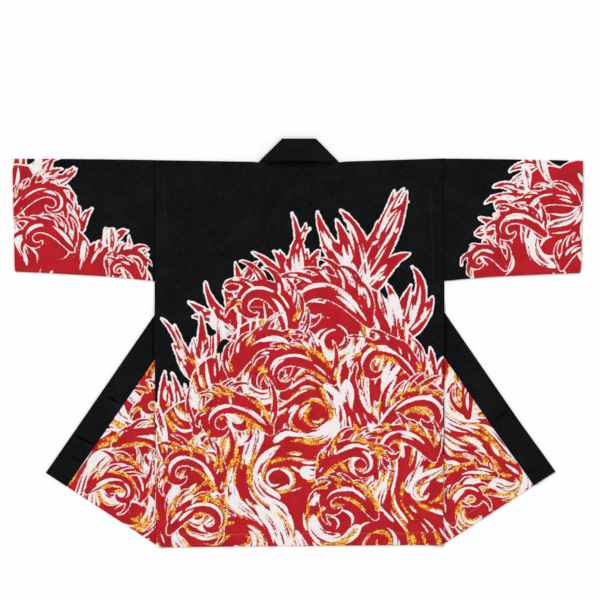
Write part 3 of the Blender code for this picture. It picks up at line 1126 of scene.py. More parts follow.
SHOULDER_SLOPES_OVER = 0.12  # below the neck
NECK_CLIP_X = 0.0900
NECK_CLIP_WIDTH = 5 * MM
NECK_CLIP_DEPTH = 0.03
SIDES_LEAN_FROM = 0.10  # height where the sides start to draw in towards the hem
SIDES_LEAN_OVER = 0.5
HEM_MOVES_OVER = 0.12  # above the hem
HEM_CORNER_WIDTH = 10 * MM
HEM_CORNER_HEIGHT = 0.03
EDGES_LIE_FLAT = 0.03


def near_hem(y, reach):
    """1 at the hem, softly down to 0 at its reach above it."""
    return eased((HEM_Y + reach - y) / reach)


def near_neck(y, reach):
    """1 at the neck, softly down to 0 at its reach below it."""
    return eased((y - (NECK_Y - reach)) / reach)


def drawn_in(x):
    """How far the back's sides come in at the hem."""
    left, right = (
        amount * eased((out - start) / run)
        for out, (amount, start, run) in zip((-x, x), SIDE_DRAWN_IN.values())
    )
    return left - right


def back_hem_moved(x, y):
    """How far up the back lies towards its hem, off the plan."""
    from_edge = BODY_HALF_WIDTH - np.abs(x)
    left, right = HEM_RAISED["left"], HEM_RAISED["right"]
    raised = (left + right) / 2 + (right - left) * x / HEM_PLACES_APART
    evened = {
        side_name: share * towards(from_edge, reach)
        for side_name, (share, reach) in HEM_EVENS_OUT.items()
    }
    raised *= 1 - by_side(x, evened)
    corner = np.exp(-from_edge / HEM_CORNER_WIDTH) * near_hem(y, HEM_CORNER_HEIGHT)
    return raised * near_hem(y, HEM_MOVES_OVER), by_side(x, HEM_CORNER_RAISED) * corner


def back_middle(x, y):
    """The middle of the back's cloth as it lies."""
    aside = np.clip((np.abs(x) - NECK_HALF_WIDTH) / (BODY_HALF_WIDTH - NECK_HALF_WIDTH), 0, 1)
    neck_corner = hump(np.abs(x) - NECK_CLIP_X, NECK_CLIP_WIDTH, 4) * near_neck(y, NECK_CLIP_DEPTH)
    shoulder = by_side(x, SHOULDER_RISES) * aside * near_neck(y, SHOULDER_SLOPES_OVER)
    placed_y = y + shoulder - NECK_CLIP * neck_corner
    placed_x = x + eased((SIDES_LEAN_FROM - y) / SIDES_LEAN_OVER) * drawn_in(x)
    for moved in back_hem_moved(x, y):
        placed_y = placed_y + moved
    off_sides = 1 - towards(BODY_HALF_WIDTH - np.abs(x), EDGES_LIE_FLAT)
    inside = off_sides * (1 - towards(y - HEM_Y, EDGES_LIE_FLAT))
    lift = rolls(x, y, BACK_ROLLS) * inside
    return heights(placed_x, placed_y, back_level(x, placed_y) + CLOTH / 2 + lift)


# A turned-up hem, puckered by its stitches
HEM_STANDS = 0.45 * MM
HEM_STEP = 1.6 * MM
STITCHES_IN = 1.5 * MM  # from the edge of what is turned up
STITCHES_PULL = 0.42 * MM
STITCHES_PULL_OVER = 1.7 * MM
PUCKER_HEIGHT = 0.16 * MM
PUCKER_LENGTH = 0.017
PUCKER_WIDTH = 9 * MM
PUCKER_UNEVEN, PUCKER_UNEVEN_WAVE = 2.2, 37

# How deep cloth is drawn down into a seam, and from how far off
SeamDip = namedtuple("SeamDip", "depth reach")
ARMHOLE_DIP = SeamDip(0.55 * MM, 4 * MM)
BACK_NECK_DIP = SeamDip(0.85 * MM, 7 * MM)
FRONT_DIP = SeamDip(0.35 * MM, 4 * MM)
BAND_DIP = SeamDip(0.45 * MM, 3 * MM)
COLLAR_DIP = SeamDip(0.5 * MM, 3 * MM)

# How far in from an edge the wear reaches, and from a seam the painted shade
EDGE = 3 * MM  # how far in from an edge or a seam cloth is worn or dusky

# How much lighter each edge is from wear, and how deep the painted shade is in each seam and
# hollow and the painted shadow beside the body's edge
HEM_WORN = 0.4
SIDES_WORN = 0.5
SLEEVE_FOLDS_WORN = 0.35
CUFF_WORN = 0.5
COLLAR_TOP_WORN = 0.5
COLLAR_FOLDS_WORN = 0.3
BAND_EDGE_WORN = 0.5
UNDER_COLLAR_SHADE = 0.8
BACK_ARMHOLE_SHADE = 0.9
SLEEVE_ARMHOLE_SHADE = 1.1
FRONT_SEAM_SHADE = 0.8
FRONT_BODY_SHADOW = 0.2
BAND_SEAM_SHADE = 0.9
BAND_BODY_SHADOW = 0.9
COLLAR_SEAM_SHADE = 1.2
TROUGH_FULLY_SHADED_AT = 0.7 * MM

SIDE_SEAM_LUMP = (0.3180, 0.1540)  # where the sleeve's lower end makes the side stand up
LUMP_HEIGHT = 0.3 * MM
LUMP_WIDTH = 8 * MM
# Where the painted shade under the collar begins, how far it fades, and how it fades at its ends
UNDER_COLLAR_FROM = 4 * MM
UNDER_COLLAR_OVER = 12 * MM
UNDER_COLLAR_ENDS_OVER = 30 * MM


def dip(distance, seam):
    return seam.depth * towards(distance, seam.reach)


def hem_relief(depth, along):
    """Height of a turned-up hem over plain cloth, at a depth up from its edge."""
    past = depth - HEM_DEPTH
    turned = HEM_STANDS * (1 - eased(past / HEM_STEP))
    pull = STITCHES_PULL * hump(past + STITCHES_IN, STITCHES_PULL_OVER)
    uneven = PUCKER_UNEVEN * np.sin(along * PUCKER_UNEVEN_WAVE)
    pucker = PUCKER_HEIGHT * np.sin(along * 2 * math.pi / PUCKER_LENGTH + uneven)
    return turned - pull + pucker * hump(past, PUCKER_WIDTH)


def back_relief(x, y):
    height = crease_heights(BACK_CREASES, x, y) + hem_relief(y - HEM_Y, x)
    height -= dip(BODY_HALF_WIDTH - np.abs(x), ARMHOLE_DIP)
    height -= dip(NECK_Y - y, BACK_NECK_DIP)
    from_lump = np.hypot(x - SIDE_SEAM_LUMP[0], y - SIDE_SEAM_LUMP[1])
    return height + LUMP_HEIGHT * hump(from_lump, LUMP_WIDTH)


def make_back():
    edge = 0.315
    columns = spaced(
        (-BODY_HALF_WIDTH, EDGE_NET),
        (-edge, 10 * MM),
        (edge, EDGE_NET),
        (BODY_HALF_WIDTH, 0),
    )
    at_hem = from_hem(HEM_Y, 10 * MM, 10.5 * MM)
    rows = spaced(*at_hem, (NECK_Y - 4 * MM, 4 * MM), (NECK_Y, 0))
    piece = cut_flat("back_panel", columns, rows)
    thicken(piece, CLOTH, ROUNDED)
    refine(piece, lambda middle, up: up > 0, 3)

    def wear_and_painted_light(x, y):
        """Painted shade below 0 in the seams at the neck and the armholes and under the collar."""
        side_edge = towards(BODY_HALF_WIDTH - np.abs(x), EDGE)
        armhole = eased((y - ARMHOLE_Y) / (4 * MM))
        # Painted shade under the collar, fading at its ends
        below = 1 - eased((NECK_Y - y - UNDER_COLLAR_FROM) / UNDER_COLLAR_OVER)
        between = eased((NECK_HALF_WIDTH - np.abs(x)) / UNDER_COLLAR_ENDS_OVER)
        under_collar = UNDER_COLLAR_SHADE * below * between
        sides = SIDES_WORN * side_edge * (1 - armhole)
        lightness = ridges(BACK_CREASES, x, y) + (sides + HEM_WORN * towards(y - HEM_Y, EDGE))
        return lightness - np.maximum(BACK_ARMHOLE_SHADE * side_edge * armhole, under_collar)

    dyes = printed_with("back")
    return lay_down(piece, CLOTH, back_middle, back_relief, wear_and_painted_light, dyes=dyes)


# The fronts

FRONT_CORNER = 6 * MM  # over which the cut hem steps to the side seam
NECK_CUT_OVER = 0.010
NECK_POINT_IN = 7 * MM
NECK_POINT_FROM, NECK_POINT_OVER = 0.95, 0.05  # shares of the front's height
FRONT_LIFTS_FROM = 0.6
FRONT_LIFTS_OVER = 12 * MM
FRONT_RELIEF_OVER = 10 * MM
FRONT_EDGES_LIE_FLAT = 0.02
# How wide the painted shadow of the body's edge is on a front and on a band
FRONT_SHADED = 5 * MM
BAND_SHADED = 13 * MM

TURNED_SHIFT = math.pi * TURN_OUT_RADIUS  # cloth taken up by the turn
FRONT_INNER_X = BODY_HALF_WIDTH - (BAND_MEETS_SIDE * math.sin(BAND_LEAN) - BAND_WIDTH)
FRONT_INNER_X -= TURNED_SHIFT * math.cos(BAND_LEAN / 2)
FRONT_CUT_HEM = HEM_Y - TURNED_SHIFT * math.sin(BAND_LEAN / 2)


def shaded(x, reach):
    """The painted shadow along the edge of the body, on what it lies on."""
    return 1 - eased((x - BODY_HALF_WIDTH) / reach)


def front_cut(x, y, shoulder_rise):
    """The front's outline, from a rectangle of FRONT_INNER_X to the side and hem to shoulder."""
    neck_x = NECK_HALF_WIDTH + SEAM
    to_neck = np.clip((y - (HIDDEN_END_Y - NECK_CUT_OVER)) / NECK_CUT_OVER, 0, 1)
    inner = FRONT_INNER_X + (neck_x - FRONT_INNER_X) * to_neck
    share = (x - FRONT_INNER_X) / (BODY_HALF_WIDTH - FRONT_INNER_X)
    x = inner + share * (BODY_HALF_WIDTH - inner)
    top = NECK_Y - 1 * MM + shoulder_rise * np.clip((x - neck_x) / (BODY_HALF_WIDTH - neck_x), 0, 1)
    to_side = eased((x - BODY_HALF_WIDTH + FRONT_CORNER) / FRONT_CORNER)
    bottom = FRONT_CUT_HEM + (HEM_Y - FRONT_CUT_HEM) * to_side
    height = (y - FRONT_CUT_HEM) / (SHOULDER_Y - FRONT_CUT_HEM)
    to_point = eased((height - NECK_POINT_FROM) / NECK_POINT_OVER)
    neck_point = NECK_POINT_IN * hump(x - neck_x, FRONT_CORNER) * to_point
    return x, bottom + height * (top - bottom) - neck_point


def front_middle(side_name):
    """How the middle of a front's cloth lies: under the back, folded, and turned out."""

    def lay(x, y):
        turned = eased(beyond(FRONT_FOLD, x, y) / FRONT_LIFTS_OVER - FRONT_LIFTS_FROM)
        lift = rolls(x, y, FRONT_ROLLS[side_name]) * turned
        lift *= 1 - towards(y - FRONT_CUT_HEM, FRONT_EDGES_LIE_FLAT)
        lift *= 1 - towards(x - FRONT_INNER_X, FRONT_EDGES_LIE_FLAT)
        placed_x, placed_y, lower = folded(x, y, FRONT_FOLD, TURN_OUT_RADIUS)
        level = np.where(lower > 0, FRONT_LIFTED, front_level(x, y))
        placed_x, placed_y = spread_out(placed_x, placed_y, side_name)
        return heights(placed_x, placed_y, level + CLOTH / 2 - lower + lift)

    return lay


def make_front(side_name, side):
    columns = spaced(
        (FRONT_INNER_X, EDGE_NET),
        (FRONT_INNER_X + EDGE_NET, PLAIN_NET),
        (BODY_HALF_WIDTH, 0),
    )
    rows = spaced(*from_hem(FRONT_CUT_HEM, PLAIN_NET, 8.4 * MM), (SHOULDER_Y, 0))
    piece = cut_flat("front_panel_" + side_name, columns, rows)
    places = points_of(piece)
    cut_x, cut_y = front_cut(places[:, 0], places[:, 1], SHOULDER_RISES[side_name])
    places[:, 0], places[:, 1] = cut_x, cut_y
    put(piece, places)
    for turned in turns(TURNED_SHIFT):
        bisect(piece, offset(FRONT_FOLD, turned))
    thicken(piece, CLOTH, ROUNDED)
    past = offset(FRONT_FOLD, TURNED_SHIFT)
    refine(piece, lambda middle, up: up < 0 and beyond(past, middle.x, middle.y) > 0, 3)

    def relief(x, y):
        height = crease_heights(FRONT_CREASES[side_name], x, y) + hem_relief(y - FRONT_CUT_HEM, x)
        height -= dip(x - FRONT_INNER_X, FRONT_DIP)
        return height * eased(beyond(past, x, y) / FRONT_RELIEF_OVER)

    def wear_and_painted_light(x, y):
        """Painted shade below 0 beside the band, and painted shadow where the body's edge lies on
        it.
        """
        placed_x = folded(x, y, FRONT_FOLD, TURN_OUT_RADIUS)[0]
        lightness = ridges(FRONT_CREASES[side_name], x, y)
        lightness = lightness + HEM_WORN * towards(y - FRONT_CUT_HEM, EDGE)
        seam = FRONT_SEAM_SHADE * towards(x - FRONT_INNER_X, EDGE)
        return lightness - seam - FRONT_BODY_SHADOW * shaded(placed_x, FRONT_SHADED)

    dyes = printed_with("front_" + side_name)
    return lay_down(piece, CLOTH, front_middle(side_name), relief, wear_and_painted_light, side, dyes, shown=-1)


# The sleeves

# Share of the way from armhole to cuff, and how far the upper fold and the lower seam lie from
# the line of the neck
SleeveRing = namedtuple("SleeveRing", "share above_neck below_neck")
SLEEVE_RINGS = (
    SleeveRing(0.00, 0.0064, 0.2620),
    SleeveRing(0.18, 0.0064, 0.2562),
    SleeveRing(0.35, 0.0062, 0.2515),
    SleeveRing(0.75, 0.0052, 0.2445),
    SleeveRing(1.00, 0.0038, 0.2410),
)
SLEEVE_DEPTH = SLEEVE_RINGS[0].above_neck + SLEEVE_RINGS[0].below_neck
SLEEVE_TURN = (CLOTH + SEAM) / 2  # radius of the middle of the cloth at the folds
SEAM_BEHIND = 0.016  # the cut edges meet this far in from the lower fold, on the under side
CUFF_SLANT = 0.0042
CUFF_CORNER_WIDTH = 6 * MM
CUFF_CORNER_FROM, CUFF_CORNER_OVER = 0.94, 0.06  # shares of the way to the cuff
CUFF_HEM_SHARE = 0.8  # of the relief of the other hems
SLEEVE_STRAIGHT = SLEEVE_DEPTH - 2 * SLEEVE_TURN
ARMHOLE_Y = NECK_Y - SLEEVE_RINGS[0].below_neck  # its lower end
HALF_TURN = math.pi * SLEEVE_TURN
SLEEVE_PUFFS_OVER = 0.045  # from its folds
SLEEVE_LIES_FLAT = 0.05  # at the armhole


def height_on_coat(y):
    """Height on the coat of a place on the side of a sleeve that shows."""
    return y + NECK_Y - SLEEVE_RINGS[0].below_neck


def sleeve_middle(side_name):
    """How the middle of a sleeve's cloth lies, as a flat tube."""
    start = BODY_HALF_WIDTH
    ring_shares, ring_tops, ring_bottoms = zip(*SLEEVE_RINGS)

    def lay(x, y):
        """y runs round the tube: the lower fold, the side that shows, the upper fold, the back."""
        share = np.clip((x - start) / (CUFF_X - start), 0, 1)
        above = np.interp(share, ring_shares, ring_tops)
        below = np.interp(share, ring_shares, ring_bottoms)
        from_armhole, to_cuff = SLEEVE_TOP_MOVED[side_name]
        above = above + from_armhole + (to_cuff - from_armhole) * share
        below = below + SLEEVE_BOTTOM_MOVED[side_name] * share
        lower_turn = np.clip((y + HALF_TURN) / SLEEVE_TURN, 0, math.pi)
        upper_turn = np.clip((y - SLEEVE_STRAIGHT) / SLEEVE_TURN, 0, math.pi)
        shown = np.clip(y, 0, SLEEVE_STRAIGHT)
        hidden = np.maximum(y - SLEEVE_STRAIGHT - HALF_TURN, 0) + np.minimum(y + HALF_TURN, 0)
        position = SLEEVE_TURN + shown - hidden
        position = np.where(y < -HALF_TURN, SLEEVE_TURN - (y + HALF_TURN), position)
        position = position - SLEEVE_TURN * np.where(y < 0, np.sin(lower_turn), 0)
        position = position + SLEEVE_TURN * np.sin(upper_turn)
        z = CLOTH / 2 + SLEEVE_TURN * (1 - np.cos(lower_turn)) * (y < 0)
        z = np.where(y >= 0, CLOTH / 2 + SLEEVE_TURN * (1 + np.cos(upper_turn)), z)
        down = position / SLEEVE_DEPTH
        placed_y = NECK_Y - below + down * (above + below)
        over = (y > 0) & (y < SLEEVE_STRAIGHT)
        from_fold = np.minimum(y, SLEEVE_STRAIGHT - y)
        puffed = np.where(over, eased(from_fold / SLEEVE_PUFFS_OVER), 0)
        puffed = puffed * (1 - towards(x - start, SLEEVE_LIES_FLAT))
        lift = rolls(x, y, SLEEVE_ROLLS[side_name]) * puffed
        placed_x = x + (CUFF_MOVED[side_name] - CUFF_SLANT * eased(1 - down)) * share
        to_corner = eased((share - CUFF_CORNER_FROM) / CUFF_CORNER_OVER)
        corner = np.exp(-(down * SLEEVE_DEPTH) / CUFF_CORNER_WIDTH) * to_corner
        placed_x = placed_x - CUFF_CORNER_IN[side_name] * corner
        return heights(placed_x, placed_y, z + lift)

    return lay


def make_sleeve(side_name, side):
    start = BODY_HALF_WIDTH
    columns = spaced(
        (start, EDGE_NET),
        (start + EDGE_NET, PLAIN_NET),
        (CUFF_X - HEM_DEPTH - 2 * MM, EDGE_NET),
        (CUFF_X - HEM_DEPTH + 4 * MM, PLAIN_NET),
        (CUFF_X - EDGE_NET, EDGE_NET),
        (CUFF_X, 0),
    )
    fine = HALF_TURN / 2
    rows = spaced(
        (-HALF_TURN - SEAM_BEHIND, PLAIN_NET),
        (-HALF_TURN - 1 * MM, 1 * MM),
        (-HALF_TURN, fine),
        (0, 1 * MM),
        (1 * MM, EDGE_NET),
        (4 * MM, PLAIN_NET),
        (SLEEVE_STRAIGHT - 4 * MM, EDGE_NET),
        (SLEEVE_STRAIGHT - 1 * MM, 1 * MM),
        (SLEEVE_STRAIGHT, fine),
        (SLEEVE_STRAIGHT + HALF_TURN, 1 * MM),
        (SLEEVE_STRAIGHT + HALF_TURN + 1 * MM, PLAIN_NET),
        (2 * SLEEVE_STRAIGHT + HALF_TURN - SEAM_BEHIND, 0),
    )
    piece = cut_flat("sleeve_tube_" + side_name, columns, rows)
    thicken(piece, CLOTH, SLEEVE_ROUNDED)
    low, high = -HALF_TURN - 1 * MM, SLEEVE_STRAIGHT + HALF_TURN + 1 * MM
    refine(piece, lambda middle, up: low < middle.y < high and up > 0, 3)
    refine(piece, lambda middle, up: low < middle.y < high and up < 0, 1)

    def relief(x, y):
        height = crease_heights(SLEEVE_CREASES[side_name], x, height_on_coat(y))
        shown = eased((y + 1 * MM) / (2 * MM)) * eased((SLEEVE_STRAIGHT + 1 * MM - y) / (2 * MM))
        height += hem_relief(CUFF_X - x, y) * CUFF_HEM_SHARE
        height -= dip(x - start, ARMHOLE_DIP)
        return height * shown

    def dyes(points):
        """The same picture on both sides of the sleeve, from its lower fold up."""
        up = np.abs(SLEEVE_STRAIGHT - np.abs(SLEEVE_STRAIGHT - points[:, 1]))
        places = np.stack([points[:, 0], height_on_coat(up)], 1)
        return printed_with("sleeve_" + side_name)(places)

    def wear_and_painted_light(x, y):
        """Painted shade below 0 in the armhole's seam."""
        folds = towards(np.abs(y - SLEEVE_STRAIGHT - HALF_TURN / 2), EDGE)
        folds = folds + towards(np.abs(y), EDGE)
        lightness = ridges(SLEEVE_CREASES[side_name], x, height_on_coat(y))
        lightness = lightness + SLEEVE_FOLDS_WORN * folds + CUFF_WORN * towards(CUFF_X - x, EDGE)
        return lightness - SLEEVE_ARMHOLE_SHADE * towards(x - start, EDGE)

    return lay_down(piece, CLOTH, sleeve_middle(side_name), relief, wear_and_painted_light, side, dyes)


# The collar

BAND_CUT_LENGTH = 0.80  # before its ends are trimmed
BAND_PUCKER = 0.18 * MM
BAND_PUCKER_LENGTH = 0.021
BAND_PUCKER_WIDTH = 12 * MM
BAND_PUCKER_UNEVEN, BAND_PUCKER_UNEVEN_WAVE = 2, 31
COLLAR_WAVE = 0.25 * MM
COLLAR_STITCHED_IN = 1.5 * MM
COLLAR_STITCHES_PULL = 0.3 * MM
COLLAR_STITCHES_PULL_OVER = 1.4 * MM
COLLAR_ENDS_LIE_FLAT = 0.03


def collar_middle(x, y):
    """Behind the neck: both ends fold under at 45 degrees."""
    placed_x, placed_y, lower = folded(np.abs(x), y, COLLAR_FOLD, TURN_UNDER_RADIUS)
    return heights(np.copysign(placed_x, x), placed_y, NECK_LIFTED + BAND / 2 - lower)


def make_collar_neck():
    turned_under = NECK_Y - HIDDEN_END_Y
    into_fold = math.pi * TURN_UNDER_RADIUS * math.sqrt(0.5)
    fold_x = COLLAR_FOLD.x + (COLLAR_FOLD.y - NECK_Y)
    half_seam = fold_x + into_fold + turned_under
    columns = spaced((-half_seam, 4 * MM), (half_seam, 0))
    piece = cut_flat("collar_behind_neck", columns, across_band(NECK_Y, COLLAR_TOP))
    half_top = COLLAR_TOP_HALF_WIDTH + into_fold
    slant = math.atan2(COLLAR_RISE, half_seam - half_top)
    end = Line(half_seam, NECK_Y, math.sin(slant), math.cos(slant))
    bisect(piece, end, clear=True)
    bisect(piece, mirrored(end), clear=True)
    for turned in turns(math.pi * TURN_UNDER_RADIUS):
        around = offset(COLLAR_FOLD, turned)
        bisect(piece, around)
        bisect(piece, mirrored(around))
    thicken(piece, BAND, BAND_ROUNDED)
    refine(piece, lambda middle, up: up > 0, 1)

    def relief(x, y):
        height = COLLAR_WAVE * np.sin(x * 61) * np.sin(y * 47 + 1) - dip(y - NECK_Y, COLLAR_DIP)
        stitched = y - NECK_Y - COLLAR_STITCHED_IN
        height -= COLLAR_STITCHES_PULL * hump(stitched, COLLAR_STITCHES_PULL_OVER)
        return height * eased((half_seam - np.abs(x)) / COLLAR_ENDS_LIE_FLAT)

    def wear_and_painted_light(x, y):
        """Painted shade below 0 in the seam of the neck."""
        folds = towards(np.abs(beyond(COLLAR_FOLD, np.abs(x), y)), 4 * MM)
        lightness = COLLAR_TOP_WORN * towards(COLLAR_TOP - y, EDGE) + COLLAR_FOLDS_WORN * folds
        return lightness - COLLAR_SEAM_SHADE * towards(y - NECK_Y, 3.5 * MM)

    return lay_down(piece, BAND, collar_middle, relief, wear_and_painted_light)


def along_band(x, y):
    """The place along the band, from the hem up, and across it, from its outer edge inwards."""
    return (
        (x - FRONT_HEM.x) * -math.sin(BAND_LEAN) + (y - FRONT_HEM.y) * math.cos(BAND_LEAN),
        -beyond(BAND_OUTER, x, y),
    )


def make_collar_arm(side_name, side):
    """The end of the collar along a turned-out front, flat on the table."""
    lines = spaced((0, 4 * MM), (BAND_CUT_LENGTH, 0))
    piece = cut_flat("collar_band_" + side_name, lines, across_band(0, BAND_WIDTH))
    places = points_of(piece)
    run, aside = places[:, 0].copy(), places[:, 1].copy()
    reach = BAND_MEETS_SIDE * math.sin(BAND_LEAN)
    hem_x = FRONT_HEM.x + reach * math.cos(BAND_LEAN)
    hem_y = FRONT_HEM.y + reach * math.sin(BAND_LEAN)
    places[:, 0] = hem_x - run * math.sin(BAND_LEAN) - aside * math.cos(BAND_LEAN)
    places[:, 1] = hem_y + run * math.cos(BAND_LEAN) - aside * math.sin(BAND_LEAN)
    put(piece, places)
    bisect(piece, FRONT_FOLD, clear=True)
    bisect(piece, offset(COLLAR_FOLD, -CLEAR_OF_BAND), clear=True)
    thicken(piece, BAND, BAND_ROUNDED)
    refine(piece, lambda middle, up: up > 0, 1)

    def middle(x, y):
        return heights(*spread_out(x, y, side_name), BAND / 2)

    def relief(x, y):
        run, aside = along_band(x, y)
        height = crease_heights(BAND_CREASES[side_name], x, y) + rolls(x, y, BAND_ROLLS[side_name])
        height -= dip(BAND_WIDTH - aside, BAND_DIP)
        uneven = BAND_PUCKER_UNEVEN * np.sin(run * BAND_PUCKER_UNEVEN_WAVE)
        pucker = BAND_PUCKER * np.sin(run * 2 * math.pi / BAND_PUCKER_LENGTH + uneven)
        return height + pucker * towards(BAND_WIDTH - aside, BAND_PUCKER_WIDTH)

    def wear_and_painted_light(x, y):
        """Painted shade below 0 in the troughs and the seam, and painted shadow beside the body."""
        aside = along_band(x, y)[1]
        creases = BAND_CREASES[side_name]
        troughs = np.clip(-crease_heights(creases, x, y) / TROUGH_FULLY_SHADED_AT, 0, 1)
        lightness = ridges(creases, x, y) + BAND_EDGE_WORN * towards(aside, EDGE) - troughs
        seam = BAND_SEAM_SHADE * towards(BAND_WIDTH - aside, EDGE)
        return lightness - seam - BAND_BODY_SHADOW * shaded(x, BAND_SHADED)

    return lay_down(piece, BAND, middle, relief, wear_and_painted_light, side)


# Stitches

THREAD = 0.55 * MM
STITCH = 2.9 * MM
STITCH_GAP = 1.3 * MM
STITCH_STRAYS = 0.12 * MM  # off its row
STITCH_TURNS = 0.03  # radians


def one_stitch():
    """A short length of thread with round ends, along X."""
    bpy.ops.object.select_all(action="DESELECT")
    bpy.ops.mesh.primitive_uv_sphere_add(segments=6, ring_count=4, radius=THREAD / 2)
    stitch = bpy.context.object
    shape = points_of(stitch)[:, [2, 0, 1]]
    off_middle = np.abs(shape[:, 0]) > THREAD * 0.1
    shape[:, 0] += np.sign(shape[:, 0]) * (STITCH - THREAD) / 2 * off_middle
    put(stitch, shape)
    return stitch


def sew(name, route, lay, surface, seed, side=1):
    """A row of stitches along a route of the flat cut, each turned a little its own way.

    route is its two ends, and surface how high the cloth stands over its middle there.
    """
    draw = np.random.default_rng(seed)
    (x0, y0), (x1, y1) = route
    length = math.hypot(x1 - x0, y1 - y0)
    count = int(length / (STITCH + STITCH_GAP))
    first = one_stitch()
    stitches = [first]
    for index in range(count):
        share = (index + 0.5) / count
        x = x0 + (x1 - x0) * share
        y = y0 + (y1 - y0) * share + draw.normal(0, STITCH_STRAYS)
        ahead_x, ahead_y = x + (x1 - x0) / length * MM, y + (y1 - y0) / length * MM
        spots = np.array([x, ahead_x]), np.array([y, ahead_y])
        middle = lay(*spots)
        run = Vector(middle[1] - middle[0]).normalized()
        turn = Matrix.Rotation(math.atan2(run.y, run.x) + draw.normal(0, STITCH_TURNS), 4, "Z")
        place = Vector(middle[0]) + Vector((0, 0, surface(*spots)[0]))
        stitch = first if index == 0 else first.copy()
        if index:
            stitch.data = first.data.copy()
            bpy.context.scene.collection.objects.link(stitch)
            stitches.append(stitch)
        stitch.matrix_world = Matrix.Translation(place) @ turn
    bpy.ops.object.select_all(action="DESELECT")
    for stitch in stitches:
        stitch.select_set(True)
    bpy.context.view_layer.objects.active = first
    bpy.ops.object.join()
    bpy.ops.object.transform_apply(location=True, rotation=True, scale=True)
    first.name = name
    if side < 0:
        mirror_over(first)
    first.data.shade_smooth()
    return first


# Finishes


class Cotton:
    """Builds a cotton finish from nodes on one material."""

    def __init__(self, name):
        self.material = bpy.data.materials.new(name)
        self.material.use_nodes = True
        self.tree = self.material.node_tree
        self.shader = self.tree.nodes["Principled BSDF"]

    def node(self, kind, **settings):
        node = self.tree.nodes.new(kind)
        for key, value in settings.items():
            setattr(node, key, value)
        return node

    def feed(self, socket, value):
        if isinstance(value, bpy.types.NodeSocket):
            self.tree.links.new(value, socket)
        elif isinstance(value, tuple) and len(value) == 3 and socket.type == "RGBA":
            socket.default_value = (*value, 1)
        else:
            socket.default_value = value

    def maths(self, operation, *values, clamp=False):
        node = self.node("ShaderNodeMath", operation=operation, use_clamp=clamp)
        for socket, value in zip(node.inputs, values):
            self.feed(socket, value)
        return node.outputs[0]

    def blend(self, share, first, second):
        node = self.node("ShaderNodeMix", data_type="RGBA", blend_type="MIX")
        self.feed(node.inputs["Factor"], share)
        self.feed(node.inputs[6], first)
        self.feed(node.inputs[7], second)
        return node.outputs[2]

    def noise(self, place, grain):
        if grain.stretch:
            mapping = self.node("ShaderNodeMapping")
            self.feed(mapping.inputs["Vector"], place)
            mapping.inputs["Scale"].default_value = grain.stretch
            place = mapping.outputs[0]
        node = self.node("ShaderNodeTexNoise")
        self.feed(node.inputs["Vector"], place)
        self.feed(node.inputs["Scale"], grain.scale)
        self.feed(node.inputs["Detail"], grain.detail)
        self.feed(node.inputs["Roughness"], grain.roughness)
        return node.outputs[0]

    def ramp(self, value, low, high, to_low=0.0, to_high=1.0):
        node = self.node("ShaderNodeMapRange", interpolation_type="SMOOTHSTEP")
        names = ("Value", "From Min", "From Max", "To Min", "To Max")
        for name, entry in zip(names, (value, low, high, to_low, to_high)):
            self.feed(node.inputs[name], entry)
        return node.outputs[0]

    def kept(self, name, vector=False):
        node = self.node("ShaderNodeAttribute", attribute_name=name)
        return node.outputs["Vector" if vector else "Fac"]

    def bump(self, height, strength, distance):
        """Gives the surface its fine relief."""
        node = self.node("ShaderNodeBump")
        node.inputs["Strength"].default_value = strength
        node.inputs["Distance"].default_value = distance
        self.feed(node.inputs["Height"], height)
        self.feed(self.shader.inputs["Normal"], node.outputs[0])

    def colour(self, colour):
        self.feed(self.shader.inputs["Base Color"], colour)


# Unevenness of many sizes; a stretched one runs along the threads or the brush
Grain = namedtuple("Grain", "scale detail roughness stretch", defaults=(2.0, 0.5, None))
BENT_THREADS = Grain(55, 1.0)
FINE_WARP = Grain(1.0, 2.0, 0.6, (1300, 45, 1))
FINE_WEFT = Grain(1.0, 2.0, 0.6, (45, 1300, 1))
COARSE_WARP = Grain(1.0, 1.0, 0.5, (430, 60, 1))
COARSE_WEFT = Grain(1.0, 1.0, 0.5, (60, 430, 1))
WORN_PATCHES = Grain(14, 3.0, 0.55)
MOTTLE = Grain(400, 2.0, 0.6)
FRAYED = Grain(330, 3.0, 0.65)
STEPPED = Grain(150, 2.0, 0.6)
SWELLING = Grain(60)
DRY_BRUSH = Grain(1.0, 3.0, 0.6, (26, 190, 1))
PATCHES = Grain(90, 3.0, 0.65)
STIPPLE = Grain(240, 2.0, 0.6)
DEEP_DYE = Grain(28)
THIN_DYE = Grain(380, 2.0, 0.6)
RUST_SPECKS = Grain(300, 1.5, 0.6)
TWIST = Grain(1.0, 1.0, 0.5, (2600, 900, 900))
PAPER_FIBRE = Grain(40)

THREAD_PITCH = 0.62 * MM
THREADS_BEND = 5.0
COARSE_SHARE = 0.28
FINE_SHARE = 0.22
WEAVE_HEIGHT = 0.35
SLUB_HEIGHT = 1.6


def woven(cotton, cut):
    """Height of a plain weave with uneven threads, and how the threads vary in shade."""
    wave = 2 * math.pi / THREAD_PITCH
    split = cotton.node("ShaderNodeSeparateXYZ")
    cotton.feed(split.inputs[0], cut)
    drift = cotton.maths("MULTIPLY", cotton.noise(cut, BENT_THREADS), THREADS_BEND)
    warp, weft = (
        cotton.maths("SINE", cotton.maths("MULTIPLY_ADD", split.outputs[axis], wave, drift))
        for axis in (0, 1)
    )
    over = cotton.maths("MULTIPLY", warp, weft)
    fine = cotton.maths("ADD", cotton.noise(cut, FINE_WARP), cotton.noise(cut, FINE_WEFT))
    coarse = cotton.maths("ADD", cotton.noise(cut, COARSE_WARP), cotton.noise(cut, COARSE_WEFT))
    fine = cotton.maths("MULTIPLY", fine, FINE_SHARE)
    slubs = cotton.maths("MULTIPLY_ADD", coarse, COARSE_SHARE, fine)
    raised = cotton.maths("MULTIPLY", slubs, SLUB_HEIGHT)
    return cotton.maths("MULTIPLY_ADD", over, WEAVE_HEIGHT, raised), slubs


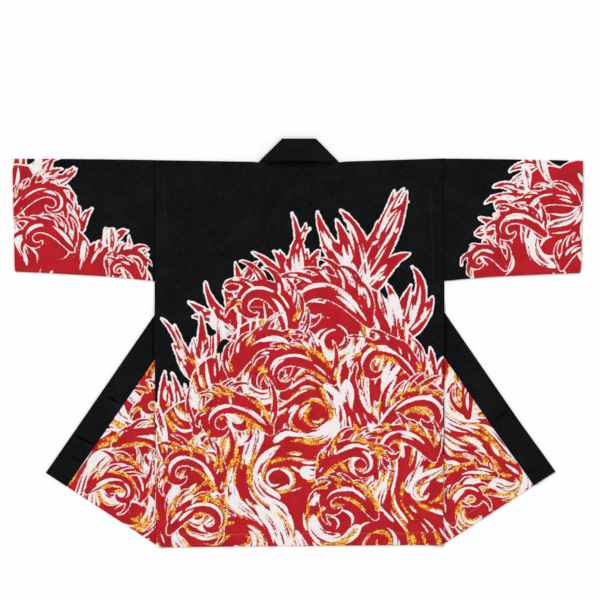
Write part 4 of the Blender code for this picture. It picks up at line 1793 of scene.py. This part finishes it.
def finish_cloth(cotton, height, slubs, sheen_tint, roughness, roughness_range):
    """The parts of a cotton finish that the black and the printed cloth share."""
    cotton.bump(height, strength=0.55, distance=0.25 * MM)
    low, high = roughness - roughness_range, roughness + roughness_range
    cotton.feed(cotton.shader.inputs["Roughness"], cotton.ramp(slubs, *HALF_THE_THREADS, low, high))
    cotton.shader.inputs["Sheen Weight"].default_value = 0.02
    cotton.shader.inputs["Sheen Roughness"].default_value = 0.45
    cotton.shader.inputs["Sheen Tint"].default_value = (*sheen_tint, 1)
    cotton.shader.inputs["Specular IOR Level"].default_value = 0.03
    return cotton.material


# Colours
BLACK_GAP = (0.0004, 0.0005, 0.0007)
BLACK_THREAD = (0.0074, 0.0078, 0.0088)
BLACK_MOTTLE = (0.0150, 0.0160, 0.0172)
BLACK_WORN = (0.0096, 0.0103, 0.0110)
# Black lightened by wear, and by painted sheen on crease tops
BLACK_WEAR_AND_SHEEN = (0.0135, 0.0147, 0.0157)
NO_LIGHT = (0.0, 0.0, 0.0)
RED = (0.515, 0.0135, 0.0215)
RED_DEEP = (0.410, 0.0105, 0.0170)
RED_THIN = (0.520, 0.0330, 0.0420)
WHITE = (0.870, 0.840, 0.842)
PINKISH = (0.86, 0.71, 0.70)
GOLD = (0.94, 0.66, 0.062)
ORANGE = (0.86, 0.40, 0.042)
RUST = (0.58, 0.060, 0.022)
THREAD_DARK = (0.24, 0.235, 0.235)
THREAD_PALE = (0.40, 0.39, 0.39)
BLACK_SHEEN = (0.75, 0.85, 0.9)
PRINT_SHEEN = (0.9, 0.9, 0.9)
# How far the painted shade darkens the black and the print
BLACK_SHADE_DEPTH = 0.95  # how much darker
PRINT_SHADE_DEPTH = 0.42

# Where each colour comes in: from and to which value of a grain, and from and to how much of it
HALF_THE_THREADS = (0.3, 0.7)
THREADS = (0.36, 0.64)
MOTTLED = (0.46, 0.66, 0.0, 0.55)
WORN = (0.42, 0.72, 0.0, 0.6)
# How much each thread takes of the wear and the painted sheen
WEAR_AND_SHEEN_THREADS = (0.38, 0.58, 0.35, 1.0)
DRY = (0.70, 0.72)
DEEPER = (0.35, 0.7)
THINNER = (0.5, 0.68, 0.0, 0.6)
TINGED = (0.52, 0.8, 0.0, 0.5)
TINGED_BY_RED = (0.0, 2.4 * MM, 0.65, 0.0)
ORANGE_PATCHES = (0.4, 0.62)
RUSTY = (0.83, 0.87, 0.0, 0.92)
SHADED_THREADS = (0.36, 0.64, 0.92, 1.0)
TWIST_ROUGHNESS = (0.3, 0.7, 0.55, 0.75)
RUST_ON_PATCHES = 0.7

# How far the edge of a dye strays
FRAYED_BY = 3.2 * MM
STEPPED_BY = 2.6 * MM
STIPPLED_BY = 8 * MM
SWELLS_BY = 7 * MM
RED_STRAYS, GOLD_STRAYS, BLACK_STRAYS = 1.0, 1.4, 1.25
SOFT_EDGE = 0.35 * MM


def black_dye(cotton, cut, slubs):
    """Black with the faint grey of threads, of wear and of painted sheen on crease tops."""
    black = cotton.blend(cotton.ramp(slubs, *THREADS), BLACK_GAP, BLACK_THREAD)
    mottle = cotton.ramp(cotton.noise(cut, MOTTLE), *MOTTLED)
    black = cotton.blend(mottle, black, BLACK_MOTTLE)
    lightness = cotton.ramp(cotton.noise(cut, WORN_PATCHES), *WORN)
    black = cotton.blend(lightness, black, BLACK_WORN)
    # Lighter from wear and from painted sheen on crease tops
    wear = cotton.maths("MAXIMUM", cotton.kept("wear_and_painted_light"), 0.0)
    wear_and_painted_light = cotton.maths("MULTIPLY", wear, cotton.ramp(slubs, *WEAR_AND_SHEEN_THREADS), clamp=True)
    return cotton.blend(wear_and_painted_light, black, BLACK_WEAR_AND_SHEEN)


def painted_shade(cotton, colour, depth):
    """The colour, darkened by painted shade in seams and hollows and beside what lies on the cloth.
    """
    shade_share = cotton.maths("MULTIPLY", cotton.kept("wear_and_painted_light"), -depth, clamp=True)
    return cotton.blend(shade_share, colour, NO_LIGHT)


def cut_place(cotton):
    return cotton.node("ShaderNodeUVMap", uv_map="cut").outputs[0]


def black_cotton():
    cotton = Cotton("black cotton")
    cut = cut_place(cotton)
    height, slubs = woven(cotton, cut)
    # Black, darkened by painted shade in its seams and hollows
    cotton.colour(painted_shade(cotton, black_dye(cotton, cut, slubs), BLACK_SHADE_DEPTH))
    return finish_cloth(cotton, height, slubs, BLACK_SHEEN, roughness=0.88, roughness_range=0.06)


def red_dye(cotton, cut):
    """Red that went on deeper in some places and thinner in others."""
    deep = cotton.ramp(cotton.noise(cut, DEEP_DYE), *DEEPER)
    thin = cotton.ramp(cotton.noise(cut, THIN_DYE), *THINNER)
    return cotton.blend(thin, cotton.blend(deep, RED, RED_DEEP), RED_THIN)


def undyed(cotton, patchy):
    """White, tinged by the red beside it."""
    white = cotton.blend(cotton.ramp(patchy, *TINGED), WHITE, PINKISH)
    return cotton.blend(cotton.ramp(cotton.kept("dye_red"), *TINGED_BY_RED), white, PINKISH)


def gold_dye(cotton, cut, patchy):
    """Gold with orange patches and specks of rust."""
    gold = cotton.blend(cotton.ramp(patchy, *ORANGE_PATCHES), GOLD, ORANGE)
    specks = cotton.maths("MULTIPLY_ADD", patchy, RUST_ON_PATCHES, cotton.noise(cut, RUST_SPECKS))
    return cotton.blend(cotton.ramp(specks, *RUSTY), gold, RUST)


def printed_cotton():
    cotton = Cotton("printed cotton")
    cut = cut_place(cotton)
    height, slubs = woven(cotton, cut)

    def centred(grain):
        return cotton.maths("SUBTRACT", cotton.noise(cut, grain), 0.5)

    def inside(edge):
        """1 within the edge of a dye, 0 beyond it."""
        return cotton.ramp(edge, -SOFT_EDGE, SOFT_EDGE, 1.0, 0.0)

    stepped = cotton.maths("MULTIPLY", centred(STEPPED), STEPPED_BY)
    ragged = cotton.maths("MULTIPLY_ADD", centred(FRAYED), FRAYED_BY, stepped)
    patchy = cotton.noise(cut, PATCHES)
    brushed = cotton.noise(cotton.kept("stroke", vector=True), DRY_BRUSH)
    covered = cotton.maths("SUBTRACT", 1.0, cotton.ramp(brushed, *DRY))

    red_edge = cotton.maths("MULTIPLY_ADD", ragged, RED_STRAYS, cotton.kept("dye_red"))
    reds = cotton.maths("MULTIPLY", inside(red_edge), covered)
    ground = cotton.blend(reds, undyed(cotton, patchy), red_dye(cotton, cut))
    gold_field = cotton.kept("dye_gold")
    stippled = cotton.maths("MULTIPLY_ADD", centred(STIPPLE), STIPPLED_BY, gold_field)
    gold_edge = cotton.maths("MULTIPLY_ADD", ragged, GOLD_STRAYS, stippled)
    ground = cotton.blend(inside(gold_edge), ground, gold_dye(cotton, cut, patchy))
    cover = cotton.maths("MULTIPLY_ADD", ragged, BLACK_STRAYS, cotton.kept("dye_cover"))
    cover_edge = cotton.maths("MULTIPLY_ADD", centred(SWELLING), SWELLS_BY, cover)
    # Painted shade, and the painted shadow of the body's edge, on the black and on the print
    black = painted_shade(cotton, black_dye(cotton, cut, slubs), BLACK_SHADE_DEPTH)
    ground = painted_shade(cotton, ground, PRINT_SHADE_DEPTH)
    colour = cotton.blend(inside(cover_edge), black, ground)

    tone = cotton.node("ShaderNodeHueSaturation")
    cotton.feed(tone.inputs["Value"], cotton.ramp(slubs, *SHADED_THREADS))
    cotton.feed(tone.inputs["Color"], colour)
    cotton.colour(tone.outputs[0])
    return finish_cloth(cotton, height, slubs, PRINT_SHEEN, roughness=0.86, roughness_range=0.07)


def thread_finish():
    cotton = Cotton("hem thread")
    place = cotton.node("ShaderNodeTexCoord").outputs["Object"]
    twist = cotton.noise(place, TWIST)
    cotton.colour(cotton.blend(twist, THREAD_DARK, THREAD_PALE))
    cotton.feed(cotton.shader.inputs["Roughness"], cotton.ramp(twist, *TWIST_ROUGHNESS))
    cotton.bump(twist, strength=0.5, distance=0.1 * MM)
    return cotton.material


# The coat

printed, black, thread = printed_cotton(), black_cotton(), thread_finish()


def wear(piece, finish, slot_name, *nodes):
    """Gives a piece its finish, and the nodes that it stands for; its slot name is not used."""
    piece.data.materials.clear()
    piece.data.materials.append(finish)
    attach(piece, "root")
    if nodes:
        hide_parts(*nodes)
    return piece


HEM_STITCHES_UP = HEM_DEPTH - STITCHES_IN
THREAD_STANDS = 0.08 * MM


def on_top(relief):
    """How high the middle of a thread on the cloth lies over the middle of the cloth."""
    return lambda x, y: relief(x, y) + CLOTH / 2 + THREAD_STANDS


def sew_front_hem(side_name, side):
    """The hem's stitches on the turned-out part of a front, whose under side shows."""
    height = FRONT_CUT_HEM + HEM_STITCHES_UP
    turn = offset(FRONT_FOLD, TURNED_SHIFT)
    from_x = turn.x - (height - turn.y) * turn.out_y / turn.out_x
    ends = (from_x - 2 * MM, height), (FRONT_INNER_X + 1 * MM, height)
    return sew(
        "front_hem_stitches_" + side_name,
        ends,
        front_middle(side_name),
        on_top(lambda x, y: hem_relief(y - FRONT_CUT_HEM, x)),
        seed=9,
        side=side,
    )


def sew_back_hem():
    half, height = BODY_HALF_WIDTH - 2 * MM, HEM_Y + HEM_STITCHES_UP
    ends = (-half, height), (half, height)
    return sew("back_hem_stitches", ends, back_middle, on_top(back_relief), seed=5)


back = wear(make_back(), printed, "printed_cotton", "back")
back_stitches = wear(sew_back_hem(), thread, "printed_cotton")

fronts, front_stitches, sleeves, arms = [], [], [], []
for side_name, side in SIDES:
    front, stitches = make_front(side_name, side), sew_front_hem(side_name, side)
    sleeve, arm = make_sleeve(side_name, side), make_collar_arm(side_name, side)
    fronts.append(wear(front, printed, "printed_cotton", "front_" + side_name))
    front_stitches.append(wear(stitches, thread, "printed_cotton"))
    sleeves.append(wear(sleeve, printed, "printed_cotton", "sleeve_" + side_name))
    arms.append(wear(arm, black, "black_cotton", "collar_" + side_name))
collar_neck = wear(make_collar_neck(), black, "black_cotton", "collar_neck")

# The studio

CAMERA_FROM = 4.405
FRAME_CENTRE = (0.0022, 0.0952)
FLOOR_SIZE = 30
FLOOR_BELOW = 0.3 * MM
PAPER = ((0.93, 0.93, 0.93), (0.95, 0.95, 0.95))
ROOM_LIGHT = 0.53

bpy.ops.object.select_all(action="DESELECT")
bpy.ops.mesh.primitive_plane_add(size=FLOOR_SIZE, location=(0, 0, -FLOOR_BELOW))
floor = bpy.context.object
floor.name = "floor"
paper = Cotton("floor paper")
fibre = paper.noise(paper.node("ShaderNodeTexCoord").outputs["Object"], PAPER_FIBRE)
paper.colour(paper.blend(fibre, *PAPER))
paper.shader.inputs["Roughness"].default_value = 0.9
floor.data.materials.append(paper.material)

scene = bpy.context.scene
scene.view_settings.view_transform = "Standard"
world = bpy.data.worlds.new("studio")
scene.world = world
world.use_nodes = True
room = world.node_tree.nodes["Background"]
room.inputs["Color"].default_value = (1.0, 1.0, 1.0, 1)
room.inputs["Strength"].default_value = ROOM_LIGHT


def soft_sun(name, place, angle, strength):
    """An even light from a wide bank of lamps, from a place towards the coat."""
    light = bpy.data.objects.new(name, bpy.data.lights.new(name, "SUN"))
    light.data.angle = math.radians(angle)
    light.data.energy = strength
    light.rotation_euler = (-Vector(place)).to_track_quat("-Z", "Y").to_euler()
    light.location = place
    scene.collection.objects.link(light)


soft_sun("key", (-2.0, 2.2, 2.4), angle=24, strength=2.15)
soft_sun("fill", (2.4, -1.6, 2.6), angle=50, strength=0.45)

lens = bpy.data.cameras.new("camera")
lens.lens, lens.sensor_width = 120, 36
camera = bpy.data.objects.new("camera", lens)
camera.location = (*FRAME_CENTRE, CAMERA_FROM)
scene.collection.objects.link(camera)
scene.camera = camera
